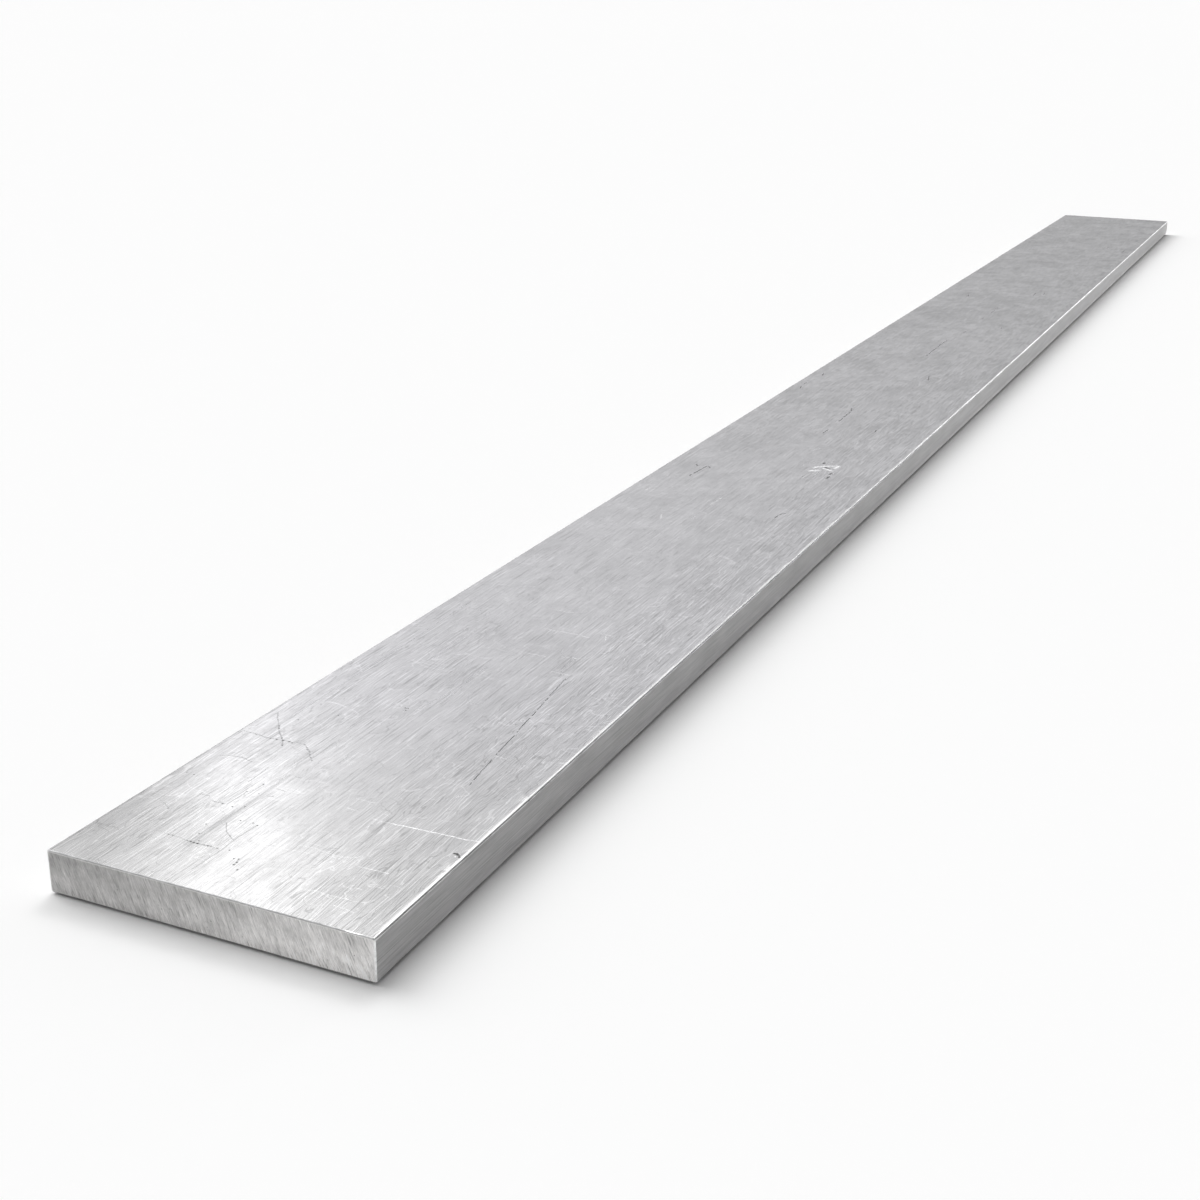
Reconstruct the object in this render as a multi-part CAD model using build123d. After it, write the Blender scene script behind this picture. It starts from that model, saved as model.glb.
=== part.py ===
from build123d import *
import os

# Aluminium flat bar: one length of extruded rectangular stock in its mill finish.
#
# The die leaves a small radius on the four long corners of the section. Both ends are sawn square
# to the length, and the saw burr round each end is filed back to a narrow 45 degree chamfer.
#
# Frame, in millimetres: +X runs along the bar, +Y across its width and +Z up through its thickness.
# The origin is the middle of the broad face that the bar lies on.

# Driving dimensions of the bar.
LENGTH = 1500.0  # between the two sawn ends
WIDTH = 101.6  # across the broad faces, a 4 in section
THICKNESS = 12.7  # between the broad faces, a 1/2 in section
CORNER_RADIUS = 0.7  # on the long corners, as extruded
END_CHAMFER = 0.35  # leg of the filed break round each sawn end

PARTS_FOLDER = "parts"


def bar_section() -> Sketch:
    """The extruded section: a rectangle with rounded corners, standing across X on the lower face."""
    section_plane = Plane.YZ.offset(-LENGTH / 2)
    lies_on_z0 = Pos(0, THICKNESS / 2)
    return section_plane * lies_on_z0 * RectangleRounded(WIDTH, THICKNESS, CORNER_RADIUS)


def sawn_end_outlines(bar: Part) -> ShapeList[Edge]:
    """The closed outline of each sawn end: its flats and its corner arcs."""
    ends = bar.faces().sort_by(Axis.X)
    return ends[0].edges() + ends[-1].edges()


def flat_bar() -> Part:
    """The section drawn out to its length, with both sawn ends deburred."""
    drawn = extrude(bar_section(), amount=LENGTH, dir=(1, 0, 0))
    return chamfer(sawn_end_outlines(drawn), END_CHAMFER)


def export_nodes(nodes: dict[str, Part]) -> None:
    """Writes each separate piece to its own STEP file, named after its node."""
    os.makedirs(PARTS_FOLDER, exist_ok=True)
    for name, solid in nodes.items():
        solid.label = name
        export_step(solid, f"{PARTS_FOLDER}/{name}.step")


export_nodes({"flat_bar": flat_bar()})
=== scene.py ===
"""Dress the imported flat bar: one length of extruded aluminium bar in its mill finish.

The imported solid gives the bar's place, length, width and thickness. This script rebuilds the bar as one
fine mesh that also has the relief the solid leaves out: die lines, handling scores, pits, nicked corners
and the marks of the saw on both ends. It then gives each surface its finish, and sets a plain pale floor,
soft light and the camera.
"""

import logging
import math
from dataclasses import dataclass
from enum import Enum
from functools import partial, reduce
from typing import Any, NamedTuple, Optional, Union

import bmesh
import bpy
import numpy as np
from mathutils import Matrix, Vector
from mathutils.geometry import delaunay_2d_cdt
from mathutils.kdtree import KDTree


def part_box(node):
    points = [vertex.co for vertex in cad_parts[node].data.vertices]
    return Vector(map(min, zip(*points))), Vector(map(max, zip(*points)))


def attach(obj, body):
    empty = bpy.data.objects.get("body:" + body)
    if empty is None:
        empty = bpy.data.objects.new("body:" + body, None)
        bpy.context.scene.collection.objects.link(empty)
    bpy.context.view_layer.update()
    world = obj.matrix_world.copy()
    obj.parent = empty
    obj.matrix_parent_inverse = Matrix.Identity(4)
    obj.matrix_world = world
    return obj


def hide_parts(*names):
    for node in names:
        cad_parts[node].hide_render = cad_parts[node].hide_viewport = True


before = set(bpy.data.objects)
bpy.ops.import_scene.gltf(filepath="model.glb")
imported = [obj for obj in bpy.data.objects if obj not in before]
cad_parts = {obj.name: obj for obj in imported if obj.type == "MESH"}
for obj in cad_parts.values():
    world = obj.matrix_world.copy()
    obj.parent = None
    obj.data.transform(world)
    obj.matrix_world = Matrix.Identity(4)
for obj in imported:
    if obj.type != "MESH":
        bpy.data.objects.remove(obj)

LOG = logging.getLogger("flat_bar")
MM = 0.001  # one millimetre, in the scene's metres
CAD_NODE = "flat_bar"
CAD_BODY = "root"
ALONG, ACROSS, UP = Vector((1, 0, 0)), Vector((0, 1, 0)), Vector((0, 0, 1))  # the bar's own ways

Socket = bpy.types.NodeSocket
Pair = tuple[float, float]
Triple = tuple[float, float, float]
Paint = tuple[float, float, float, float]
Level = Union[Socket, float]
Colour = Union[Socket, Triple, Paint]


class Tone(Enum):
    """How a mark on the bar catches the light."""

    BRIGHT = 1.0  # a sharp edge laid fresh metal bare
    DARK = -1.0  # an older score has filled with oxide


class Stroke(Enum):
    """How a mark runs along its path."""

    WHOLE = "whole"
    BROKEN = "broken"
    BEADED = "beaded"


class Finish(Enum):
    """The surfaces of the bar that are finished apart, in the order of the mesh's material slots."""

    MILL = 0  # the broad faces and long corners, as they left the die and the straightener
    EDGE = 1  # the narrow faces, duller from the rollers and guides that they ran against
    SAWN = 2  # the two cut ends
    FILED = 3  # the narrow break round each cut end


# ---------------------------------------------------------------------------------------------------
# Sizes
# ---------------------------------------------------------------------------------------------------


@dataclass(frozen=True)
class BarSize:
    """The bar's sizes in metres. Length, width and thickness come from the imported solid."""

    length: float
    width: float
    thickness: float
    corner_radius: float = 0.7 * MM
    end_break: float = 0.35 * MM

    @classmethod
    def from_frame(cls) -> "BarSize":
        """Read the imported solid's box.

        Returns:
            The sizes of the bar.
        """
        low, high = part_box(CAD_NODE)
        extent = high - low
        return cls(length=extent.x, width=extent.y, thickness=extent.z)

    @property
    def skin_reach(self) -> float:
        """How far the full section runs from the middle, before the break at each end."""
        return self.length / 2 - self.end_break

    @property
    def broad_reach(self) -> float:
        """Half the flat width of a broad face, between its long corners."""
        return self.width / 2 - self.corner_radius

    @property
    def narrow_reach(self) -> float:
        """Half the flat height of a narrow face, between its long corners."""
        return self.thickness / 2 - self.corner_radius


# ---------------------------------------------------------------------------------------------------
# Smooth noise for the relief
# ---------------------------------------------------------------------------------------------------


class Waves:
    """Smooth random waves between -1 and 1, the same at every run."""

    TABLE = 256

    def __init__(self, seed: int) -> None:
        """Draw the table of heights that the waves run through.

        Args:
            seed: Picks the waves.
        """
        self.table = np.random.default_rng(seed).uniform(-1, 1, (self.TABLE, self.TABLE))

    @staticmethod
    def _ease(share: np.ndarray) -> np.ndarray:
        """Ease a share from 0 to 1, level at both ends."""
        return share * share * (3 - 2 * share)

    def field(self, u: np.ndarray, v: np.ndarray) -> np.ndarray:
        """Give the waves over a surface.

        Args:
            u: Places along the first direction, one wave for each whole number or so.
            v: Places along the second direction.

        Returns:
            The height at each place.
        """
        column, row = np.floor(u), np.floor(v)
        across, up = self._ease(u - column), self._ease(v - row)
        i, j = column.astype(int) % self.TABLE, row.astype(int) % self.TABLE
        k, m = (i + 1) % self.TABLE, (j + 1) % self.TABLE
        low = self.table[i, j] * (1 - across) + self.table[k, j] * across
        high = self.table[i, m] * (1 - across) + self.table[k, m] * across
        return low * (1 - up) + high * up

    def line(self, u: np.ndarray) -> np.ndarray:
        """Give the waves along a line, one for each whole number or so."""
        return self.field(u, np.zeros_like(u))


def fade(distance: np.ndarray, start: float, end: float) -> np.ndarray:
    """Ease from 0 at start to 1 at end.

    Args:
        distance: The values to grade.
        start: Where the result is 0.
        end: Where the result is 1, above or below start.

    Returns:
        The graded values.
    """
    share = np.clip((distance - start) / (end - start), 0, 1)
    return share * share * (3 - 2 * share)


# ---------------------------------------------------------------------------------------------------
# Marks on a face
# ---------------------------------------------------------------------------------------------------


@dataclass(frozen=True)
class Groove:
    """A score cut in a face: a shallow trough with a raised lip along each side."""

    points: np.ndarray
    half_width: float
    depth: float
    shade: float

    LIP_SHARE = 0.35  # how high a lip stands, as a share of the trough's depth
    LIP_REACH = 1.9  # how far out a lip ends, in half widths of the trough

    def rows(self) -> list[np.ndarray]:
        """Lay rows of points along the trough and its rims, and a closed row round the feet of its lips.

        Returns:
            One array of points for each row.
        """
        along = np.gradient(self.points, axis=0)
        along /= np.linalg.norm(along, axis=1, keepdims=True)
        side = np.stack([-along[:, 1], along[:, 0]], 1) * self.half_width
        foot, reach = side * self.LIP_REACH, self.reach()
        start, end = self.points[:1] - along[:1] * reach, self.points[-1:] + along[-1:] * reach
        feet = np.vstack([start, self.points + foot, end, (self.points - foot)[::-1], start])
        return [self.points, self.points + side, self.points - side, feet]

    def distances(self, places: np.ndarray) -> np.ndarray:
        """Measure how far each place lies from the score's middle line.

        Args:
            places: Points on the face.

        Returns:
            The distances in metres.
        """
        nearest = np.full(len(places), np.inf)
        for start, end in zip(self.points[:-1], self.points[1:]):
            run = end - start
            share = np.clip((places - start) @ run / (run @ run), 0, 1)
            gap = places - start - share[:, None] * run
            nearest = np.minimum(nearest, np.hypot(gap[:, 0], gap[:, 1]))
        return nearest

    def reach(self) -> float:
        """Tell how far from its middle line the score changes the face."""
        return self.half_width * self.LIP_REACH

    def height(self, distance: np.ndarray) -> np.ndarray:
        """Give the relief at a distance from the middle line."""
        profile = (-self.depth, self.LIP_SHARE * self.depth, 0.0)
        return np.interp(distance / self.half_width, (0.0, 1.0, self.LIP_REACH), profile)


@dataclass(frozen=True)
class Pit:
    """A small round dent in a face."""

    centre: np.ndarray
    radius: float
    depth: float
    shade: float

    RING = 7  # points round the dent
    INNER_RING = 0.55

    def rows(self) -> list[np.ndarray]:
        """Lay a point in the middle and two closed rings round it.

        Returns:
            One array of points for each row.
        """
        turns = np.linspace(0, 2 * math.pi, self.RING + 1)
        ring = np.stack([np.cos(turns), np.sin(turns)], 1) * self.radius
        return [self.centre[None, :], self.centre + ring * self.INNER_RING, self.centre + ring]

    def distances(self, places: np.ndarray) -> np.ndarray:
        """Measure how far each place lies from the middle of the dent."""
        return np.hypot(*(places - self.centre).T)

    def reach(self) -> float:
        """Tell how far from its middle the dent changes the face."""
        return self.radius

    @property
    def half_width(self) -> float:
        """Give half the width of a groove that is as dark as the dent."""
        return self.radius / Marks.SHADE_START

    def height(self, distance: np.ndarray) -> np.ndarray:
        """Give the relief at a distance from the middle."""
        return -self.depth * np.clip(1 - (distance / self.radius) ** 2, 0, None)


@dataclass(frozen=True)
class MarkGroup:
    """Handling marks of one kind, in millimetres from the near end and in from the left long edge."""

    name: str
    tone: Tone
    stroke: Stroke
    width: float
    depth: float
    strength: float
    paths: tuple[tuple[Pair, ...], ...]

    STEP = 1.1 * MM  # the length of each run of a path
    WAVER = 0.05 * MM  # how far a path strays to each side
    DASH_RUNS, GAP_RUNS = (3, 7), (0, 2)  # how many runs a dash and a gap have, below the second number
    BEAD_CHANCE = 0.55  # how likely each stop of a beaded score is to have a pit
    BEAD_SIZES = (0.55, 1.0)  # the pits' radii, in widths of the score
    THREAD_SHARE, THREAD_TONE = 0.3, 0.5  # how slight and how faint the thread between them is

    def cut(self, size: BarSize, rng: np.random.Generator) -> "list[Groove | Pit]":
        """Turn the marks into the grooves and pits that they are made of.

        Args:
            size: The bar's sizes, which place the near end and the left edge.
            rng: Draws how each mark wavers and where it breaks.

        Returns:
            The grooves and pits, in metres on the upper face.
        """
        cuts: list[Groove | Pit] = []
        for path in self.paths:
            corners = np.array(path) * MM
            places = np.stack([corners[:, 0] - size.length / 2, size.width / 2 - corners[:, 1]], 1)
            if len(places) == 1:
                cuts.append(Pit(places[0], self.width / 2 * MM, self.depth * MM, self.shade()))
            elif self.stroke is Stroke.BEADED:
                cuts += self._beads(self._resample(places, rng), rng)
            elif self.stroke is Stroke.BROKEN:
                cuts += [self._groove(part) for part in self._parts(self._resample(places, rng), rng)]
            else:
                cuts.append(self._groove(self._resample(places, rng)))
        LOG.debug("%s: %d grooves and pits", self.name, len(cuts))
        return cuts

    def shade(self) -> float:
        """Give how bright, above 0, or dark, below 0, the marks are."""
        return self.tone.value * self.strength

    def _resample(self, corners: np.ndarray, rng: np.random.Generator) -> np.ndarray:
        """Divide a path into short runs that waver a little from side to side.

        Args:
            corners: The path's corners.
            rng: Draws the waver.

        Returns:
            The points between the runs.
        """
        run = np.hypot(*np.diff(corners, axis=0).T)
        along = np.concatenate([[0.0], np.cumsum(run)])
        count = max(2, round(along[-1] / self.STEP))
        stops = np.linspace(0, along[-1], count + 1)
        line = np.stack([np.interp(stops, along, corners[:, axis]) for axis in (0, 1)], 1)
        return line + rng.normal(0, self.WAVER, line.shape)

    def _parts(self, line: np.ndarray, rng: np.random.Generator) -> list[np.ndarray]:
        """Break a line into dashes of a few runs with short gaps between them.

        Args:
            line: The line's points.
            rng: Draws the length of each dash and gap.

        Returns:
            The points of each dash.
        """
        parts, start = [], 0
        while start < len(line) - 1:
            end = min(len(line), start + int(rng.integers(*self.DASH_RUNS)))
            if end - start > 1:
                parts.append(line[start:end])
            start = end + int(rng.integers(*self.GAP_RUNS))
        return parts

    def _beads(self, line: np.ndarray, rng: np.random.Generator) -> "list[Groove | Pit]":
        """Set a chain of uneven pits along a line, over a faint thread of a groove.

        Args:
            line: The line's points.
            rng: Draws which points have a pit, and its size.

        Returns:
            The groove and the pits.
        """
        width, depth = self.width * self.THREAD_SHARE * MM, self.depth * self.THREAD_SHARE * MM
        thread = Groove(line, width, depth, self.shade() * self.THREAD_TONE)
        beads: list[Groove | Pit] = [thread]
        for place in line:
            if rng.random() < self.BEAD_CHANCE:
                radius = self.width * rng.uniform(*self.BEAD_SIZES) * MM
                beads.append(Pit(place, radius, self.depth * MM, self.shade()))
        return beads

    def _groove(self, line: np.ndarray) -> Groove:
        """Make a groove of the group's own width along a line."""
        return Groove(line, self.width / 2 * MM, self.depth * MM, self.shade())


class Marks:
    """All the grooves and pits of one face, with the relief and the shade that they give it."""

    SHADE_START = 1.6  # in half widths from a mark's middle, where its shade begins
    SHADE_FULL = 0.4  # and where it is full

    def __init__(self) -> None:
        """Start with a clean face."""
        self.cuts: list[Groove | Pit] = []

    def measure(self, places: np.ndarray) -> tuple[np.ndarray, np.ndarray]:
        """Give what the marks do to each place on the face.

        Args:
            places: Points on the face, in metres.

        Returns:
            The relief in metres, and the shade from -1, dark, to 1, bright.
        """
        relief, shade = np.zeros(len(places)), np.zeros(len(places))
        for cut in self.cuts:
            rim = np.vstack(cut.rows())
            low, high = rim.min(0) - cut.reach(), rim.max(0) + cut.reach()
            near = np.flatnonzero(((places > low) & (places < high)).all(1))
            if not len(near):
                continue
            distance = cut.distances(places[near])
            relief[near] += cut.height(distance)
            start, full = cut.half_width * self.SHADE_START, cut.half_width * self.SHADE_FULL
            tint = cut.shade * fade(distance, start, full)
            shade[near] = np.where(abs(tint) > abs(shade[near]), tint, shade[near])
        return relief, shade


# ---------------------------------------------------------------------------------------------------
# Patches of the bar's surface
# ---------------------------------------------------------------------------------------------------


@dataclass
class Patch:
    """A piece of the bar's surface, before it is joined to its neighbours."""

    points: np.ndarray
    faces: list[tuple[int, ...]]
    chart: np.ndarray
    finish: Finish
    shade: np.ndarray
    # how worn each point is, with a painted highlight above 0 and painted shade below 0
    wear_and_light: np.ndarray


def grid_faces(columns: int, rows: int, flip: bool) -> list[tuple[int, ...]]:
    """Join the points of a grid, stored column by column, into four-sided faces.

    Args:
        columns: How many columns of points there are.
        rows: How many points each column has.
        flip: Turns the faces over.

    Returns:
        The corners of each face.
    """
    faces = []
    for column in range(columns - 1):
        for row in range(rows - 1):
            a = column * rows + row
            corners = (a, a + rows, a + rows + 1, a + 1)
            faces.append(corners[::-1] if flip else corners)
    return faces


def fill_outline(
    rim: np.ndarray, rows: list[np.ndarray], loose: np.ndarray
) -> tuple[np.ndarray, list[tuple[int, ...]]]:
    """Fill a closed outline with triangles that follow rows of points.

    Args:
        rim: The outline's points in order.
        rows: Chains of points whose runs become edges.
        loose: Single points inside the outline.

    Returns:
        The points and the triangles, wound like the rim.
    """
    scale, tolerance = 1 / MM, 1e-5  # the filler works in millimetres, well clear of its own tolerance
    points = [Vector(p) for p in np.vstack([rim, loose]) * scale]
    edges = []
    for row in rows:
        first = len(points)
        points += [Vector(p) for p in row * scale]
        edges += [(first + i, first + i + 1) for i in range(len(row) - 1)]
    outline = [list(range(len(rim)))]
    inside_only = 1
    found, _, faces, *_ = delaunay_2d_cdt(points, edges, outline, inside_only, tolerance)
    return np.array([tuple(p) for p in found]) / scale, [tuple(f) for f in faces]


def gaps(places: np.ndarray, points: np.ndarray) -> np.ndarray:
    """Measure how far each place lies from the nearest of some points.

    Args:
        places: The places to measure from.
        points: The points.

    Returns:
        The distances in metres.
    """
    tree = KDTree(len(points))
    for index, (x, y) in enumerate(points):
        tree.insert((x, y, 0), index)
    tree.balance()
    return np.array([tree.find((x, y, 0))[2] for x, y in places])


@dataclass
class BroadFace:
    """The upper or the lower broad face: nearly flat, with die lines along it and marks across it."""

    size: BarSize
    upper: bool
    left_stations: np.ndarray
    right_stations: np.ndarray
    marks: Marks
    columns: int
    rows: int
    edge_margin: float = 1.2 * MM
    mark_margin: float = 0.15 * MM
    clear_of_marks: float = 0.3 * MM
    inset: float = 0.05 * MM

    # the height of each kind of wave, and how long and how wide one is
    die_line_height: float = 0.010 * MM
    die_line: Pair = (420 * MM, 3.0 * MM)
    fine_line_height: float = 0.005 * MM
    fine_line: Pair = (250 * MM, 1.7 * MM)
    swell_height: float = 0.020 * MM
    swell: Pair = (34 * MM, 26 * MM)

    # how rubbed the strip along the right edge is, with its painted highlight, against the distance from
    # the near end in millimetres
    RUB_AND_HIGHLIGHT_ALONG = ((0, 60, 200, 400), (0.4, 0.36, 0.2, 0.0))
    # its width, the share of it that wavers, and how long one wave is
    RUBBED_WIDTH, RUBBED_WAVER, RUBBED_RUN = 1.3, 0.4, 9
    LINE_SEED, SWELL_SEED, RUBBED_SEED = 11, 21, 31
    FINE_LINE_START = 60  # where the fine lines' waves are read

    def cross_places(self) -> np.ndarray:
        """Give the places across the face where its lattice has rows."""
        return np.linspace(-self.size.broad_reach, self.size.broad_reach, self.rows + 1)

    def _rim(self) -> np.ndarray:
        """Walk round the face's edge, anticlockwise seen from above.

        Returns:
            The points of the edge.
        """
        reach, side, across = self.size.skin_reach, self.size.broad_reach, self.cross_places()
        right = np.stack([self.right_stations, np.full(len(self.right_stations), -side)], 1)
        left = np.stack([self.left_stations, np.full(len(self.left_stations), side)], 1)[::-1]
        far = np.stack([np.full(len(across) - 2, reach), across[1:-1]], 1)
        near = np.stack([np.full(len(across) - 2, -reach), across[1:-1]], 1)[::-1]
        return np.vstack([right, far, left, near])

    def _lattice(self, mark_rows: list[np.ndarray]) -> np.ndarray:
        """Lay the inner lattice points, leaving out those that crowd a mark.

        Args:
            mark_rows: The rows of points that the marks need.

        Returns:
            The lattice's points.
        """
        reach = self.size.skin_reach
        along = np.linspace(-reach, reach, self.columns + 1)[1:-1]
        x, y = np.meshgrid(along, self.cross_places()[1:-1], indexing="ij")
        lattice = np.stack([x.ravel(), y.ravel()], 1)
        if not mark_rows:
            return lattice
        return lattice[gaps(lattice, np.vstack(mark_rows)) > self.clear_of_marks]

    def _inside(self, row: np.ndarray) -> np.ndarray:
        """Keep a row of mark points just inside the face's edge."""
        limit = np.array([self.size.skin_reach - self.inset, self.size.broad_reach - self.inset])
        return np.clip(row, -limit, limit)

    def relief(self, places: np.ndarray) -> tuple[np.ndarray, np.ndarray]:
        """Work out how far each place stands out of the face, and its shade.

        Args:
            places: Points on the face, in metres.

        Returns:
            The relief in metres, and the shade of the marks.
        """
        x, y = places.T
        lines, swell = Waves(self.LINE_SEED + self.upper), Waves(self.SWELL_SEED + self.upper)
        height = self.die_line_height * lines.field(y / self.die_line[1], x / self.die_line[0])
        fine_place = y / self.fine_line[1] + self.FINE_LINE_START
        height += self.fine_line_height * lines.field(fine_place, x / self.fine_line[0])
        height += self.swell_height * swell.field(x / self.swell[0], y / self.swell[1])
        to_edge = np.minimum(self.size.skin_reach - abs(x), self.size.broad_reach - abs(y))
        height *= fade(to_edge, 0, self.edge_margin)
        cut, shade = self.marks.measure(places)
        return height + cut * fade(to_edge, 0, self.mark_margin), shade

    def patch(self) -> Patch:
        """Build the face.

        Returns:
            The face's patch, wound to face outwards.
        """
        rows = [self._inside(row) for cut in self.marks.cuts for row in cut.rows()]
        flat, faces = fill_outline(self._rim(), rows, self._lattice(rows))
        height, shade = self.relief(flat)
        half = self.size.thickness / 2
        level = half + (half + height if self.upper else -half - height)
        points = np.column_stack([flat, level])
        if not self.upper:
            faces = [face[::-1] for face in faces]
        return Patch(points, faces, flat, Finish.MILL, shade, self._rub_and_painted_highlight(flat))

    def _rub_and_painted_highlight(self, places: np.ndarray) -> np.ndarray:
        """Tell how rubbed each place is, with a painted highlight: only a narrow strip along the upper
        face's right edge.

        Args:
            places: Points on the face, in metres.

        Returns:
            How rubbed each is, and how strong its painted highlight, from 0 to 1.
        """
        if not self.upper:
            return np.zeros(len(places))
        inwards = (self.size.broad_reach + places[:, 1]) / MM
        from_near_end = (self.size.skin_reach + places[:, 0]) / MM
        waver = 1 + self.RUBBED_WAVER * Waves(self.RUBBED_SEED).line(from_near_end / self.RUBBED_RUN)
        strength = np.interp(from_near_end, *self.RUB_AND_HIGHLIGHT_ALONG)
        return strength * np.clip(1 - inwards / (self.RUBBED_WIDTH * waver), 0, 1)


@dataclass
class NarrowFace:
    """The left or the right narrow face, with die lines that run the whole length of the bar."""

    size: BarSize
    side: float
    stations: np.ndarray
    rows: int = 24
    line_height: float = 0.004 * MM
    line: Pair = (380 * MM, 1.6 * MM)  # how long and how wide one wave is
    die_line_place: float = 0.9 * MM
    die_line_wander: float = 0.3 * MM
    die_line_run: float = 300 * MM  # how long one wave of its wander is
    die_line_depth: float = 0.03 * MM
    die_line_half_width: float = 0.35 * MM
    edge_margin: float = 0.8 * MM
    end_margin: float = 2 * MM

    SEED, DIE_LINE_START = 31, 7  # picks the waves, and where the die line's wander is read

    def heights(self) -> np.ndarray:
        """Give the heights of the face's rows above the floor."""
        reach = self.size.narrow_reach
        return self.size.thickness / 2 + np.linspace(-reach, reach, self.rows + 1)

    def patch(self) -> Patch:
        """Build the face.

        Returns:
            The face's patch, wound to face outwards.
        """
        x, z = np.meshgrid(self.stations, self.heights(), indexing="ij")
        x, z = x.ravel(), z.ravel()
        up = z - self.size.thickness / 2
        lines = Waves(self.SEED + (self.side < 0))
        out = self.line_height * lines.field(z / self.line[1], x / self.line[0])
        wander = lines.line(x / self.die_line_run + self.DIE_LINE_START)
        place = self.die_line_place + self.die_line_wander * wander
        out -= self.die_line_depth * fade(abs(up - place), self.die_line_half_width, 0)
        out *= fade(self.size.narrow_reach - abs(up), 0, self.edge_margin)
        out *= fade(self.size.skin_reach - abs(x), 0, self.end_margin)
        y = self.side * (self.size.width / 2 + out)
        faces = grid_faces(len(self.stations), self.rows + 1, flip=self.side > 0)
        blank, chart = np.zeros(len(x)), np.column_stack([x, z])
        return Patch(np.column_stack([x, y, z]), faces, chart, Finish.EDGE, blank, blank)


@dataclass
class LongCorner:
    """One of the four long corners: a small radius from the die, rubbed and nicked by handling, with
    painted highlight and painted shade along it.
    """

    size: BarSize
    side: float
    upper: bool
    stations: np.ndarray
    nicks: tuple[Pair, ...]
    segments: int = 6
    rub_depth: float = 0.035 * MM
    rub_run: float = 23 * MM  # how long one wave of the rub is
    nick_half_length: float = 1.1 * MM
    end_margin: float = 2 * MM

    # how rubbed, with a painted highlight, or below 0 darkened by painted shade, a corner is, against its
    # turn from the broad face to the narrow one
    # upper right: a painted highlight over the rub, then a painted dark line where it meets the narrow face
    UPPER_RIGHT_RUB_AND_PAINTED_LIGHT = ((0.0, 0.17, 0.34, 0.51, 1.0), (0.4, 0.8, 0.7, -0.18, -0.24))  # upper right
    # upper left: a painted dark line
    UPPER_LEFT_PAINTED_SHADE = ((0.0, 0.25, 1.0), (0.0, -0.22, -0.30))  # upper left
    # lower: a painted contact shadow under the corner, and painted shade up to the narrow face
    LOWER_PAINTED_SHADOW = ((0.0, 0.51, 0.84, 1.0), (-1.0, -1.0, -0.26, -0.24))  # lower
    # what the rub and its painted highlight are multiplied by, against the distance from the near end in
    # millimetres
    RUB_AND_HIGHLIGHT_ALONG = ((0, 120, 200, 450, 850), (0.64, 0.68, 1.0, 0.9, 0.2))
    SEED, WAVE_START = 41, 9  # picks the waves of the rub, and where they are read

    def patch(self) -> Patch:
        """Build the corner, from the broad face round to the narrow one.

        Returns:
            The corner's patch, wound to face outwards.
        """
        radius = self.size.corner_radius
        turns = np.linspace(0, math.pi / 2, self.segments + 1)
        x, turn = np.meshgrid(self.stations, turns, indexing="ij")
        x, turn = x.ravel(), turn.ravel()
        wave = Waves(self.SEED + self.upper).line(x / self.rub_run + self.WAVE_START * self.side)
        worn = self.rub_depth * (0.5 + 0.5 * wave)
        for place, depth in self.nicks:
            worn += depth * fade(abs(x - place), self.nick_half_length, 0)
        worn *= fade(self.size.skin_reach - abs(x), 0, self.end_margin)
        reach = radius - worn * np.sin(2 * turn)
        out, up = np.sin(turn) * reach, np.cos(turn) * reach
        y = self.side * (self.size.broad_reach + out)
        rise = self.size.narrow_reach + up
        z = self.size.thickness / 2 + (rise if self.upper else -rise)
        faces = grid_faces(len(self.stations), self.segments + 1, flip=(self.side > 0) != self.upper)
        grade = self.LOWER_PAINTED_SHADOW if not self.upper else self.UPPER_RIGHT_RUB_AND_PAINTED_LIGHT if self.side < 0 else self.UPPER_LEFT_PAINTED_SHADE
        # the wear value carries the rub with its painted highlight above 0, and painted shade below 0
        wear_and_light = np.interp(turn / math.radians(90), *grade)
        rub_and_highlight = np.interp((self.size.skin_reach + x) / MM, *self.RUB_AND_HIGHLIGHT_ALONG)
        wear_and_light = np.where(wear_and_light > 0, wear_and_light * rub_and_highlight, wear_and_light)
        chart = np.column_stack([x, turn * radius])
        return Patch(np.column_stack([x, y, z]), faces, chart, Finish.MILL, np.zeros(len(x)), wear_and_light)


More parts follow.
